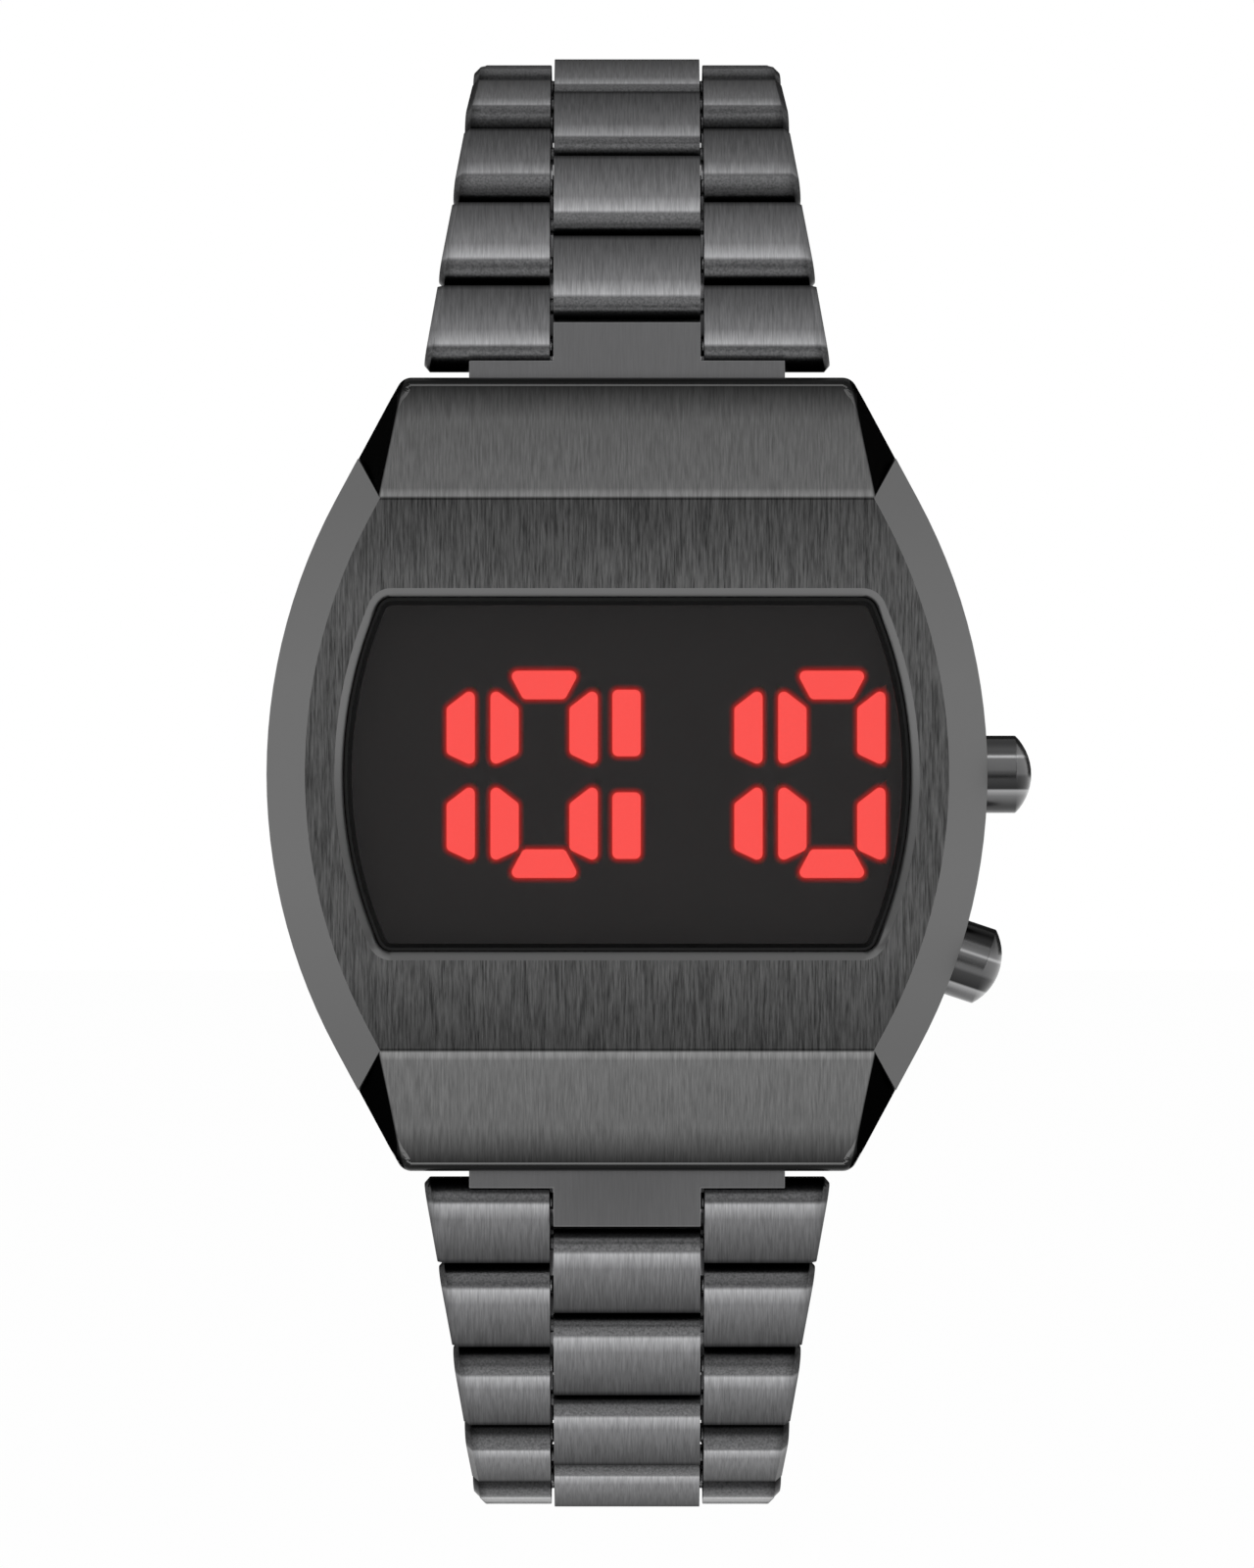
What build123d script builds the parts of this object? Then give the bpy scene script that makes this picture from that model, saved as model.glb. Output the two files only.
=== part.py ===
# A digital wrist watch: a steel case, a bracelet of riveted rows and a folding clasp.
# Frame: X to the three o'clock side, Z up to twelve o'clock, Y back into the wrist.
# The origin is the middle of the case back's outer face, so the dial looks along -Y.
# Heights called h are measured forward from that face.
from build123d import *
from math import asin, atan, atan2, cos, degrees, radians, sin, sqrt, tan
import os

os.makedirs("parts", exist_ok=True)

# Case, in millimetres
case_width = 38.0
case_height = 41.9
side_arc_r = 30.5
case_bottom_h = 1.0
side_top_h = 6.3
plate_h = 9.0
end_h = 5.5
side_bevel = 2.1
facet_half_height = 14.48
end_corner_r = 0.8
end_edge_r = 0.9
corner_facet_slope = 58.0
corner_facet_rise = 2.3
corner_facet_spread = 1.3
overrun = 5.0

# Window, crystal and its seal
window_half_width = 15.35
window_half_height = 9.76
window_arc_r = 23.0
window_corner_r = 1.3
window_bevel = 0.46
window_bevel_depth = 0.3
crystal_t = 1.2
crystal_clearance = 0.05
crystal_bevel = 0.15
crystal_drop = 0.12
crystal_gasket_t = 0.3
ledge_width = 0.42

# Cavity and module
cavity_half_width = 14.7
cavity_half_height = 11.9
cavity_corner_r = 3.0
cavity_top_h = 6.6
module_clearance = 0.2
panel_t = 0.4
segment_clearance = 0.05
display_board_t = 0.7
board_gap = 0.2
circuit_board_t = 0.6
chip_size = 5.0
chip_t = 0.5
chip_x = 7.0
chip_z = 5.2
holder_wall = 1.2
battery_r = 10.0
battery_t = 1.6
battery_clearance = 0.15
battery_shift = 1.2
battery_h = 2.15
clip_strap_t = 0.2
clip_strap_half_length = 11.5
clip_strap_half_width = 2.0
holder_window_r = 6.0

# Lit segments of a seven bar figure, and the colon
figure_pitch = 15.15
one_left_x = 9.5
zero_left_x = 7.19
segment_width = 1.49
segment_height = 4.27
segment_low = 0.39
segment_top_slant = 1.15
segment_foot_slant = 0.7
zero_width = 5.65
bar_width = 3.8
bar_inner_width = 2.2
bar_height = 1.5
bar_low = 3.95
colon_left_x = 0.77
colon_height = 3.5
colon_low = 0.95

# Case back, its seal and its screws
back_t = 1.6
back_inset = 1.2
back_half_height = 17.2
back_corner_r = 1.0
back_clearance = 0.05
back_rim = 0.35
back_gasket_t = 0.4
back_gasket_width = 0.8
back_gasket_margin = 0.5
screw_x = 11.0
screw_z = 15.4
screw_head_r = 1.1
screw_head_t = 0.7
screw_shank_r = 0.6
screw_length = 3.2
screw_slot_width = 0.3
screw_slot_depth = 0.25
screw_clearance = 0.02

# Push buttons
button_r = 2.05
button_face = 1.55
button_dome = 0.85
button_sink = 0.3
button_recess_clearance = 0.12
button_recess_depth = 1.25
button_h = 3.7
button_angle = 18.5
button_travel = 0.6
stem_r = 0.75
stem_clearance = 0.05
stem_tail = 0.8
tube_wall = 0.5
tube_inner_end = 26.15
return_bore_r = 1.6
return_bore_depth = 0.8
return_wire_r = 0.12
return_coil_r = 1.25
return_turns = 4
return_wire_sides = 6
seal_width = 0.6
seal_depth = 0.25
seal_inset = 0.9
seal_stand = 0.04
clip_t = 0.25
clip_r = 1.35
clip_groove = 0.25
clip_gap = 0.05
contact_t = 0.15
contact_width = 1.4
contact_reach = 1.3
contact_gap = 0.12

# Bracelet rows
row_count = 12
pitch = 4.5
link_half_t = 1.3
link_gap = 0.1
lane_half = 3.9
lane_gap = 0.18
pin_r = 0.45
pin_clearance = 0.03
rivet_clearance = 0.01
nose_fillet = 0.75
back_fillet = 0.4
edge_chamfer = 0.35
first_half_width = 10.8
last_half_width = 8.0
width_shares = (1.0, 0.73, 0.46, 0.25, 0.11)
upper_angles = (11, 21, 39, 62, 85, 103, 118, 130, 140, 149, 157, 163)
lower_angles = (10, 16, 34, 56, 82, 103, 119, 131, 141, 149, 155, 160)
hinge_rise = 1.65
hinge_h = 3.0

# End links and the sprung bars that hold them
end_link_half = 8.35
end_link_front = 1.65
end_link_back = 1.45
end_link_depth = 2.6
end_link_reach = 0.92
notch_clearance = 0.12
bar_r = 0.75
bar_tip_r = 0.45
bar_tip_length = 0.9
bar_tip_clearance = 0.05
bar_inset = 1.3

# Folding clasp, in bands about an arc through both bracelet ends
clasp_arc_r = 62.0
cover_wall = 0.8
cover_roof = 0.8
cover_roof_v = 1.7
cover_skirt_v = 1.1
cover_clearance = 0.12
cover_lip = 1.15
cover_edge = 0.3
blade_half = 6.0
blade_t = 0.7
outer_blade_v = 0.9
inner_blade_v = -0.3
fold_pin_r = 0.4
fold_pin_clearance = 0.03
fold_ring_r = 0.72
fold_v = 0.3
fold_knuckle_half = 3.0
fold_gap = 0.15
fold_from_bar = 3.4
hinge_from_bar = 3.6
fork_half = 4.15
fork_ring_r = 1.05
fork_gap = 0.35

# Places worked out from the sizes above
half_width = case_width / 2
half_height = case_height / 2
arc_centre_x = half_width - side_arc_r
hinge_z = half_height + hinge_rise
bar_z = half_height - bar_inset
ledge_h = plate_h - crystal_drop - crystal_t - crystal_gasket_t
aperture_inset = window_bevel + ledge_width
panel_h = cavity_top_h - panel_t
display_board_h = panel_h - display_board_t
circuit_board_h = display_board_h - board_gap - circuit_board_t
holder_h = back_t + module_clearance
notch_h = hinge_h + end_link_front + notch_clearance
recess_floor_r = side_arc_r - button_recess_depth
button_back_r = side_arc_r - button_sink
tube_r = stem_r + stem_clearance + tube_wall
clip_start_r = tube_inner_end - clip_gap - clip_t
stem_end_r = clip_start_r - stem_tail
far_end = pitch - link_half_t - link_gap
near_end = link_half_t + link_gap
rivet_u = (near_end + far_end) / 2


def front(h):
    # A plane parallel to the dial, h in front of the case back's outer face
    return Plane.XZ.offset(h)


# The two button lines, out of the side arc's centre
button_lines = [Plane(origin=(arc_centre_x, -button_h, 0),
                      z_dir=(cos(radians(angle)), 0, -sin(radians(angle)))) for angle in (0, button_angle)]

# Plan of the case: two side arcs that run out along their tangents to straight ends
side_end_x = arc_centre_x + sqrt(side_arc_r**2 - facet_half_height**2)
side_lean = facet_half_height / (side_end_x - arc_centre_x)
end_half_width = side_end_x - side_lean * (half_height - facet_half_height)
with BuildSketch() as case_plan:
    with BuildLine():
        ThreePointArc((side_end_x, facet_half_height), (half_width, 0), (side_end_x, -facet_half_height))
        Polyline((side_end_x, -facet_half_height), (end_half_width, -half_height),
                 (-end_half_width, -half_height), (-side_end_x, -facet_half_height))
        ThreePointArc((-side_end_x, -facet_half_height), (-half_width, 0), (-side_end_x, facet_half_height))
        Polyline((-side_end_x, facet_half_height), (-end_half_width, half_height),
                 (end_half_width, half_height), (side_end_x, facet_half_height))
    make_face()
    case_ends = case_plan.vertices().group_by(Axis.Y)
    fillet(case_ends[0] + case_ends[-1], radius=end_corner_r)

# Plan of the window: shallow side arcs between straight upper and lower edges
window_arc_x = window_half_width - window_arc_r
window_end_x = window_arc_x + sqrt(window_arc_r**2 - window_half_height**2)
with BuildSketch() as window_plan:
    with BuildLine():
        ThreePointArc((window_end_x, window_half_height), (window_half_width, 0),
                      (window_end_x, -window_half_height))
        Line((window_end_x, -window_half_height), (-window_end_x, -window_half_height))
        ThreePointArc((-window_end_x, -window_half_height), (-window_half_width, 0),
                      (-window_end_x, window_half_height))
        Line((-window_end_x, window_half_height), (window_end_x, window_half_height))
    make_face()
    fillet(window_plan.vertices(), radius=window_corner_r)

# Plan of the case back: the case plan drawn in, with its ends cut short of the end links
with BuildSketch() as back_plan:
    add(case_plan.sketch)
    offset(amount=-back_inset, kind=Kind.INTERSECTION, mode=Mode.REPLACE)
    Rectangle(case_width, 2 * back_half_height, mode=Mode.INTERSECT)
    fillet(back_plan.vertices().group_by(Axis.Y)[0], radius=back_corner_r)
    fillet(back_plan.vertices().group_by(Axis.Y)[-1], radius=back_corner_r)

# The four dark corner facets: wedges whose sloping floor falls away from the end slope
plate_end_x = side_end_x - side_bevel * sqrt(1 + side_lean**2)
ridge_foot = Vector(plate_end_x, -plate_h, facet_half_height)
ridge_top = Vector(end_half_width, -end_h, half_height)
facet_fall = Vector(1, tan(radians(corner_facet_slope)), 0)
facet_floor = Plane(origin=ridge_foot, z_dir=facet_fall.cross(ridge_top - ridge_foot))
with BuildPart() as corner_wedges:
    with BuildSketch(front(0)):
        with BuildLine():
            Polyline((plate_end_x, facet_half_height),
                     (plate_end_x + corner_facet_spread * overrun,
                      facet_half_height + corner_facet_rise * overrun),
                     (end_half_width, half_height), close=True)
        make_face()
    extrude(amount=plate_h + overrun)
    split(bisect_by=facet_floor, keep=Keep.TOP)
    mirror(about=Plane.YZ)
    mirror(about=Plane.XY)

# Case: a slab with bevelled sides, sloped ends, the window and the module's cavity
with BuildPart() as case_body:
    with BuildSketch(front(case_bottom_h)):
        add(case_plan.sketch)
    extrude(amount=side_top_h - case_bottom_h)
    with BuildSketch(front(side_top_h)):
        add(case_plan.sketch)
    rise = plate_h - side_top_h
    extrude(amount=rise, taper=degrees(atan(side_bevel / rise)))
    with BuildSketch(Plane.YZ):
        fall = (plate_h - end_h) / (half_height - facet_half_height)
        with BuildLine():
            Polyline((-plate_h, facet_half_height), (-plate_h - overrun, facet_half_height),
                     (-plate_h - overrun, half_height + overrun),
                     (fall * overrun - end_h, half_height + overrun), close=True)
        make_face()
        mirror(about=Plane.XZ)
    extrude(amount=half_width, both=True, mode=Mode.SUBTRACT)
    add(corner_wedges.part, mode=Mode.SUBTRACT)
    end_edges = case_body.edges().filter_by(Axis.X)
    fillet(end_edges.group_by(Axis.Z)[-1].sort_by(Axis.Y)[0], radius=end_edge_r)
    end_edges = case_body.edges().filter_by(Axis.X)
    fillet(end_edges.group_by(Axis.Z)[0].sort_by(Axis.Y)[0], radius=end_edge_r)
    # The polished bevel round the window, the crystal's seat and the aperture under it
    with BuildSketch(front(plate_h)):
        add(window_plan.sketch)
    extrude(amount=-window_bevel_depth, taper=degrees(atan(window_bevel / window_bevel_depth)),
            mode=Mode.SUBTRACT)
    with BuildSketch(front(ledge_h)):
        add(window_plan.sketch)
        offset(amount=-window_bevel, mode=Mode.REPLACE)
    extrude(amount=plate_h - ledge_h, mode=Mode.SUBTRACT)
    with BuildSketch(front(cavity_top_h)):
        add(window_plan.sketch)
        offset(amount=-aperture_inset, mode=Mode.REPLACE)
    extrude(amount=plate_h - cavity_top_h, mode=Mode.SUBTRACT)
    with BuildSketch(front(case_bottom_h)):
        RectangleRounded(2 * cavity_half_width, 2 * cavity_half_height, cavity_corner_r)
    extrude(amount=cavity_top_h - case_bottom_h, mode=Mode.SUBTRACT)
    # The seat of the case back, with its seal's groove and the screw holes
    with BuildSketch(front(case_bottom_h)):
        add(back_plan.sketch)
    extrude(amount=back_t - case_bottom_h, mode=Mode.SUBTRACT)
    gasket_half_width = cavity_half_width + back_gasket_margin
    gasket_half_height = cavity_half_height + back_gasket_margin
    with BuildSketch(front(back_t)):
        RectangleRounded(2 * (gasket_half_width + back_gasket_width),
                         2 * (gasket_half_height + back_gasket_width), cavity_corner_r + back_gasket_width)
        RectangleRounded(2 * gasket_half_width, 2 * gasket_half_height, cavity_corner_r, mode=Mode.SUBTRACT)
    extrude(amount=back_gasket_t, mode=Mode.SUBTRACT)
    with BuildSketch(front(back_t)):
        with GridLocations(2 * screw_x, 2 * screw_z, 2, 2):
            Circle(screw_shank_r)
    extrude(amount=screw_length, mode=Mode.SUBTRACT)
    # Notches for the end links and the blind holes for their bars
    notch_half_width = end_link_half + notch_clearance
    notch_floor_z = half_height - end_link_depth - notch_clearance
    with BuildSketch(Plane.YZ):
        with BuildLine():
            Polyline((0, notch_floor_z), (-notch_h, notch_floor_z), (-notch_h, half_height + overrun),
                     (0, half_height + overrun), close=True)
        make_face()
        mirror(about=Plane.XZ)
    extrude(amount=notch_half_width, both=True, mode=Mode.SUBTRACT)
    with BuildSketch(Plane.YZ):
        with Locations((-hinge_h, bar_z), (-hinge_h, -bar_z)):
            Circle(bar_tip_r + bar_tip_clearance)
    extrude(amount=notch_half_width + bar_tip_length, both=True, mode=Mode.SUBTRACT)
    # Stepped holes for the two push buttons
    for button_line in button_lines:
        with BuildSketch(button_line.offset(recess_floor_r)):
            Circle(button_r + button_recess_clearance)
        extrude(amount=overrun, mode=Mode.SUBTRACT)
        with BuildSketch(button_line.offset(recess_floor_r)):
            Circle(tube_r)
        extrude(amount=-overrun, mode=Mode.SUBTRACT)
case_body.part.label = "case_body"
export_step(case_body.part, "parts/case_body.step")

# Crystal and the flat seal that it sits on
with BuildPart() as crystal:
    with BuildSketch(front(ledge_h + crystal_gasket_t)):
        add(window_plan.sketch)
        offset(amount=-window_bevel - crystal_clearance, mode=Mode.REPLACE)
    extrude(amount=crystal_t)
    chamfer(crystal.faces().sort_by(Axis.Y)[0].edges(), length=crystal_bevel)
crystal.part.label = "crystal"
export_step(crystal.part, "parts/crystal.step")

with BuildPart() as crystal_gasket:
    with BuildSketch(front(ledge_h)):
        add(window_plan.sketch)
        offset(amount=-window_bevel - crystal_clearance, mode=Mode.REPLACE)
        with BuildSketch(mode=Mode.PRIVATE) as gasket_hole:
            add(window_plan.sketch)
            offset(amount=-aperture_inset, mode=Mode.REPLACE)
        add(gasket_hole.sketch, mode=Mode.SUBTRACT)
    extrude(amount=crystal_gasket_t)
crystal_gasket.part.label = "crystal_gasket"
export_step(crystal_gasket.part, "parts/crystal_gasket.step")

# Lit segments: an upright bar has one long side, a cross bar is a trapezoid
with BuildSketch() as upright:
    with BuildLine():
        Polyline((0, 0), (0, segment_height), (segment_width, segment_height - segment_top_slant),
                 (segment_width, segment_foot_slant), close=True)
    make_face()
with BuildSketch() as cross_bar:
    with BuildLine():
        Polyline((-bar_width / 2, bar_height), (bar_width / 2, bar_height), (bar_inner_width / 2, 0),
                 (-bar_inner_width / 2, 0), close=True)
    make_face()
upright_rows = (segment_low, -segment_low - segment_height)
with BuildSketch() as figures:
    for shift in (0, figure_pitch):
        for row in upright_rows:
            # The one has its long side on the right, and the nought on both its outer sides
            add(upright.sketch.mirror(Plane.YZ).moved(Location((shift - one_left_x + segment_width, row, 0))))
            add(upright.sketch.moved(Location((shift - zero_left_x, row, 0))))
            right_x = shift - zero_left_x + zero_width
            add(upright.sketch.mirror(Plane.YZ).moved(Location((right_x, row, 0))))
        middle_x = shift - zero_left_x + zero_width / 2
        add(cross_bar.sketch.moved(Location((middle_x, bar_low, 0))))
        add(cross_bar.sketch.mirror(Plane.XZ).moved(Location((middle_x, -bar_low, 0))))
    with Locations((segment_width / 2 - colon_left_x, colon_low + colon_height / 2),
                   (segment_width / 2 - colon_left_x, -colon_low - colon_height / 2)):
        Rectangle(segment_width, colon_height)

panel_half_width = cavity_half_width - module_clearance
panel_half_height = cavity_half_height - module_clearance
panel_corner_r = cavity_corner_r - module_clearance
with BuildPart() as display_panel:
    with BuildSketch(front(panel_h)):
        RectangleRounded(2 * panel_half_width, 2 * panel_half_height, panel_corner_r)
    extrude(amount=panel_t)
    with BuildSketch(front(panel_h)):
        add(figures.sketch)
        offset(amount=segment_clearance, kind=Kind.INTERSECTION, mode=Mode.REPLACE)
    extrude(amount=panel_t, mode=Mode.SUBTRACT)
display_panel.part.label = "display_panel"
export_step(display_panel.part, "parts/display_panel.step")

with BuildPart() as led_segments:
    with BuildSketch(front(panel_h)):
        add(figures.sketch)
    extrude(amount=panel_t)
led_segments.part.label = "led_segments"
export_step(led_segments.part, "parts/led_segments.step")

# Display board, main board and its chips
board_half_width = cavity_half_width - module_clearance - holder_wall
board_half_height = cavity_half_height - module_clearance - holder_wall
board_corner_r = cavity_corner_r - module_clearance - holder_wall
with BuildPart() as display_board:
    with BuildSketch(front(display_board_h)):
        RectangleRounded(2 * board_half_width, 2 * board_half_height, board_corner_r)
    extrude(amount=display_board_t)
display_board.part.label = "display_board"
export_step(display_board.part, "parts/display_board.step")

with BuildPart() as circuit_board:
    with BuildSketch(front(circuit_board_h)):
        RectangleRounded(2 * board_half_width, 2 * board_half_height, board_corner_r)
    extrude(amount=circuit_board_t)
    # Nicks that clear the button clips and sleeves
    for button_line in button_lines:
        with BuildSketch(button_line.offset(clip_start_r - button_travel - clip_gap)):
            Circle(clip_r + segment_clearance)
        extrude(amount=overrun, mode=Mode.SUBTRACT)
circuit_board.part.label = "circuit_board"
export_step(circuit_board.part, "parts/circuit_board.step")

with BuildPart() as drive_chips:
    with BuildSketch(front(circuit_board_h - chip_t)):
        with Locations((-chip_x, chip_z), (-chip_x, -chip_z)):
            Rectangle(chip_size, chip_size)
    extrude(amount=chip_t)
drive_chips.part.label = "drive_chips"
export_step(drive_chips.part, "parts/drive_chips.step")

# Holder: a moulded frame with pockets for the boards, the cell, its strap and the button stems
with BuildPart() as module_holder:
    with BuildSketch(front(holder_h)):
        RectangleRounded(2 * panel_half_width, 2 * panel_half_height, panel_corner_r)
    extrude(amount=display_board_h - board_gap / 2 - holder_h)
    with BuildSketch(front(circuit_board_h)):
        RectangleRounded(2 * (board_half_width + segment_clearance),
                         2 * (board_half_height + segment_clearance), board_corner_r)
    extrude(amount=overrun, mode=Mode.SUBTRACT)
    with BuildSketch(front(holder_h)):
        with Locations((-battery_shift, 0)):
            Circle(battery_r + battery_clearance)
    extrude(amount=battery_h + battery_t - holder_h, mode=Mode.SUBTRACT)
    with BuildSketch(front(holder_h)):
        with Locations((-battery_shift, 0)):
            Rectangle(2 * (clip_strap_half_length + battery_clearance),
                      2 * (clip_strap_half_width + battery_clearance))
    extrude(amount=battery_h - holder_h, mode=Mode.SUBTRACT)
    with BuildSketch(front(holder_h)):
        with Locations((-battery_shift, 0)):
            Circle(holder_window_r)
    extrude(amount=circuit_board_h - holder_h, mode=Mode.SUBTRACT)
    with BuildSketch(front(holder_h)):
        with Locations((-chip_x, chip_z), (-chip_x, -chip_z)):
            Rectangle(chip_size + 2 * battery_clearance, chip_size + 2 * battery_clearance)
    extrude(amount=circuit_board_h - holder_h, mode=Mode.SUBTRACT)
    # Channels for the stems, their clips and the contacts behind them
    notch_start_r = stem_end_r - button_travel - contact_gap - contact_t - battery_clearance
    for button_line in button_lines:
        with BuildSketch(button_line.offset(notch_start_r)):
            Rectangle(2 * (clip_r + battery_clearance), 2 * (clip_r + battery_clearance))
        extrude(amount=overrun, mode=Mode.SUBTRACT)
module_holder.part.label = "module_holder"
export_step(module_holder.part, "parts/module_holder.step")

# Coin cell: a can with a slightly smaller cap towards the board
with BuildPart() as battery:
    with BuildSketch(front(battery_h)):
        with Locations((-battery_shift, 0)):
            Circle(battery_r)
    extrude(amount=battery_t)
    chamfer(battery.faces().sort_by(Axis.Y)[0].edges(), length=battery_clearance * 2)
battery.part.label = "battery"
export_step(battery.part, "parts/battery.step")

with BuildPart() as battery_strap:
    with BuildSketch(front(battery_h - clip_strap_t)):
        with Locations((-battery_shift, 0)):
            RectangleRounded(2 * clip_strap_half_length, 2 * clip_strap_half_width, clip_strap_half_width / 2)
    extrude(amount=clip_strap_t)
battery_strap.part.label = "battery_strap"
export_step(battery_strap.part, "parts/battery_strap.step")

# Case back: a plate with a softened rim and four countersunk screws
with BuildPart() as case_back:
    with BuildSketch(front(0)):
        add(back_plan.sketch)
        offset(amount=-back_clearance, kind=Kind.INTERSECTION, mode=Mode.REPLACE)
    extrude(amount=back_t)
    chamfer(case_back.faces().sort_by(Axis.Y)[-1].edges(), length=back_rim)
    with Locations(Plane.XZ):
        with GridLocations(2 * screw_x, 2 * screw_z, 2, 2):
            Cylinder(screw_head_r + screw_clearance, screw_head_t,
                     align=(Align.CENTER, Align.CENTER, Align.MIN), mode=Mode.SUBTRACT)
            Cylinder(screw_shank_r + screw_clearance, back_t,
                     align=(Align.CENTER, Align.CENTER, Align.MIN), mode=Mode.SUBTRACT)
case_back.part.label = "case_back"
export_step(case_back.part, "parts/case_back.step")

with BuildPart() as back_gasket:
    with BuildSketch(front(back_t)):
        RectangleRounded(2 * (gasket_half_width + back_gasket_width),
                         2 * (gasket_half_height + back_gasket_width), cavity_corner_r + back_gasket_width)
        RectangleRounded(2 * gasket_half_width, 2 * gasket_half_height, cavity_corner_r, mode=Mode.SUBTRACT)
    extrude(amount=back_gasket_t)
back_gasket.part.label = "back_gasket"
export_step(back_gasket.part, "parts/back_gasket.step")

with BuildPart() as back_screws:
    with Locations(Plane.XZ):
        with GridLocations(2 * screw_x, 2 * screw_z, 2, 2):
            Cylinder(screw_head_r, screw_head_t, align=(Align.CENTER, Align.CENTER, Align.MIN))
            Cylinder(screw_shank_r, screw_length, align=(Align.CENTER, Align.CENTER, Align.MIN))
            Box(2 * screw_head_r, screw_slot_width, screw_slot_depth,
                align=(Align.CENTER, Align.CENTER, Align.MIN), mode=Mode.SUBTRACT)
back_screws.part.label = "back_screws"
export_step(back_screws.part, "parts/back_screws.step")

# Push button: a domed cap on a stem, turned about its own line out of the side arc's centre
button_axis = Axis((arc_centre_x, -button_h, 0), (1, 0, 0))
swing_axis = Axis((arc_centre_x, -button_h, 0), (0, 1, 0))
button_section = Plane(origin=(arc_centre_x, -button_h, 0), x_dir=(1, 0, 0), z_dir=(0, -1, 0))
face_r = side_arc_r + button_face
seal_start_r = recess_floor_r - seal_inset - seal_width
dome_sphere_r = (button_r**2 + button_dome**2) / (2 * button_dome)
with BuildPart() as upper_button:
    with BuildSketch(button_section):
        with BuildLine():
            Polyline((stem_end_r, 0), (stem_end_r, stem_r), (clip_start_r, stem_r),
                     (clip_start_r, stem_r - clip_groove), (clip_start_r + clip_t, stem_r - clip_groove),
                     (clip_start_r + clip_t, stem_r), (seal_start_r, stem_r),
                     (seal_start_r, stem_r - seal_depth), (seal_start_r + seal_width, stem_r - seal_depth),
                     (seal_start_r + seal_width, stem_r), (button_back_r + return_bore_depth, stem_r),
                     (button_back_r + return_bore_depth, return_bore_r), (button_back_r, return_bore_r),
                     (button_back_r, button_r), (face_r, button_r))
            RadiusArc((face_r, button_r), (face_r + button_dome, 0), dome_sphere_r)
            Line((face_r + button_dome, 0), (stem_end_r, 0))
        make_face()
    revolve(axis=button_axis)
with BuildPart() as lower_button:
    add(upper_button.part.rotate(swing_axis, button_angle))
upper_button.part.label = "upper_button"
export_step(upper_button.part, "parts/upper_button.step")
lower_button.part.label = "lower_button"
export_step(lower_button.part, "parts/lower_button.step")

with BuildPart() as upper_button_seal:
    with BuildSketch(button_section):
        with Locations((seal_start_r + seal_width / 2, stem_r - seal_depth)):
            Rectangle(seal_width, seal_depth + seal_stand, align=(Align.CENTER, Align.MIN))
    revolve(axis=button_axis)
with BuildPart() as lower_button_seal:
    add(upper_button_seal.part.rotate(swing_axis, button_angle))
upper_button_seal.part.label = "upper_button_seal"
export_step(upper_button_seal.part, "parts/upper_button_seal.step")
lower_button_seal.part.label = "lower_button_seal"
export_step(lower_button_seal.part, "parts/lower_button_seal.step")

# Snap clip in the stem's groove, open on one side
with BuildPart() as upper_button_clip:
    with BuildSketch(Plane(button_section.origin, x_dir=(0, 0, 1), z_dir=(1, 0, 0)).offset(clip_start_r)):
        Circle(clip_r)
        Circle(stem_r - clip_groove, mode=Mode.SUBTRACT)
        with Locations((clip_r, 0)):
            Rectangle(2 * clip_r, 2 * (stem_r - clip_groove) - clip_groove, mode=Mode.SUBTRACT)
    extrude(amount=clip_t)
with BuildPart() as lower_button_clip:
    add(upper_button_clip.part.rotate(swing_axis, button_angle))
upper_button_clip.part.label = "upper_button_clip"
export_step(upper_button_clip.part, "parts/upper_button_clip.step")
lower_button_clip.part.label = "lower_button_clip"
export_step(lower_button_clip.part, "parts/lower_button_clip.step")

# Return spring between the recess floor and the cap
spring_length = button_back_r + return_bore_depth - recess_floor_r - 2 * return_wire_r
spring_start = (arc_centre_x + recess_floor_r + return_wire_r, -button_h, 0)
with BuildPart() as upper_button_spring:
    with BuildLine():
        coil = Helix(spring_length / return_turns, spring_length, return_coil_r, center=spring_start,
                     direction=(1, 0, 0))
    with BuildSketch(Plane(coil @ 0, z_dir=coil % 0)):
        RegularPolygon(return_wire_r, return_wire_sides)
    sweep(is_frenet=True)
with BuildPart() as lower_button_spring:
    add(upper_button_spring.part.rotate(swing_axis, button_angle))
upper_button_spring.part.label = "upper_button_spring"
export_step(upper_button_spring.part, "parts/upper_button_spring.step")
lower_button_spring.part.label = "lower_button_spring"
export_step(lower_button_spring.part, "parts/lower_button_spring.step")

# Sleeves pressed into the case, and the leaf contacts that the stems push
with BuildPart() as button_tube:
    with BuildSketch(button_section):
        with Locations(((tube_inner_end + recess_floor_r) / 2, tube_r - tube_wall / 2)):
            Rectangle(recess_floor_r - tube_inner_end, tube_wall)
    revolve(axis=button_axis)
with BuildPart() as button_tubes:
    add(button_tube.part)
    add(button_tube.part.rotate(swing_axis, button_angle))
button_tubes.part.label = "button_tubes"
export_step(button_tubes.part, "parts/button_tubes.step")

contact_r = stem_end_r - button_travel - contact_gap - contact_t
with BuildPart() as contact_leaf:
    with BuildSketch(front(circuit_board_h - contact_reach)):
        with Locations((arc_centre_x + contact_r + contact_t / 2, 0)):
            Rectangle(contact_t, contact_width)
    extrude(amount=contact_reach)
with BuildPart() as switch_contacts:
    add(contact_leaf.part)
    add(contact_leaf.part.rotate(swing_axis, button_angle))
switch_contacts.part.label = "switch_contacts"
export_step(switch_contacts.part, "parts/switch_contacts.step")

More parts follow.
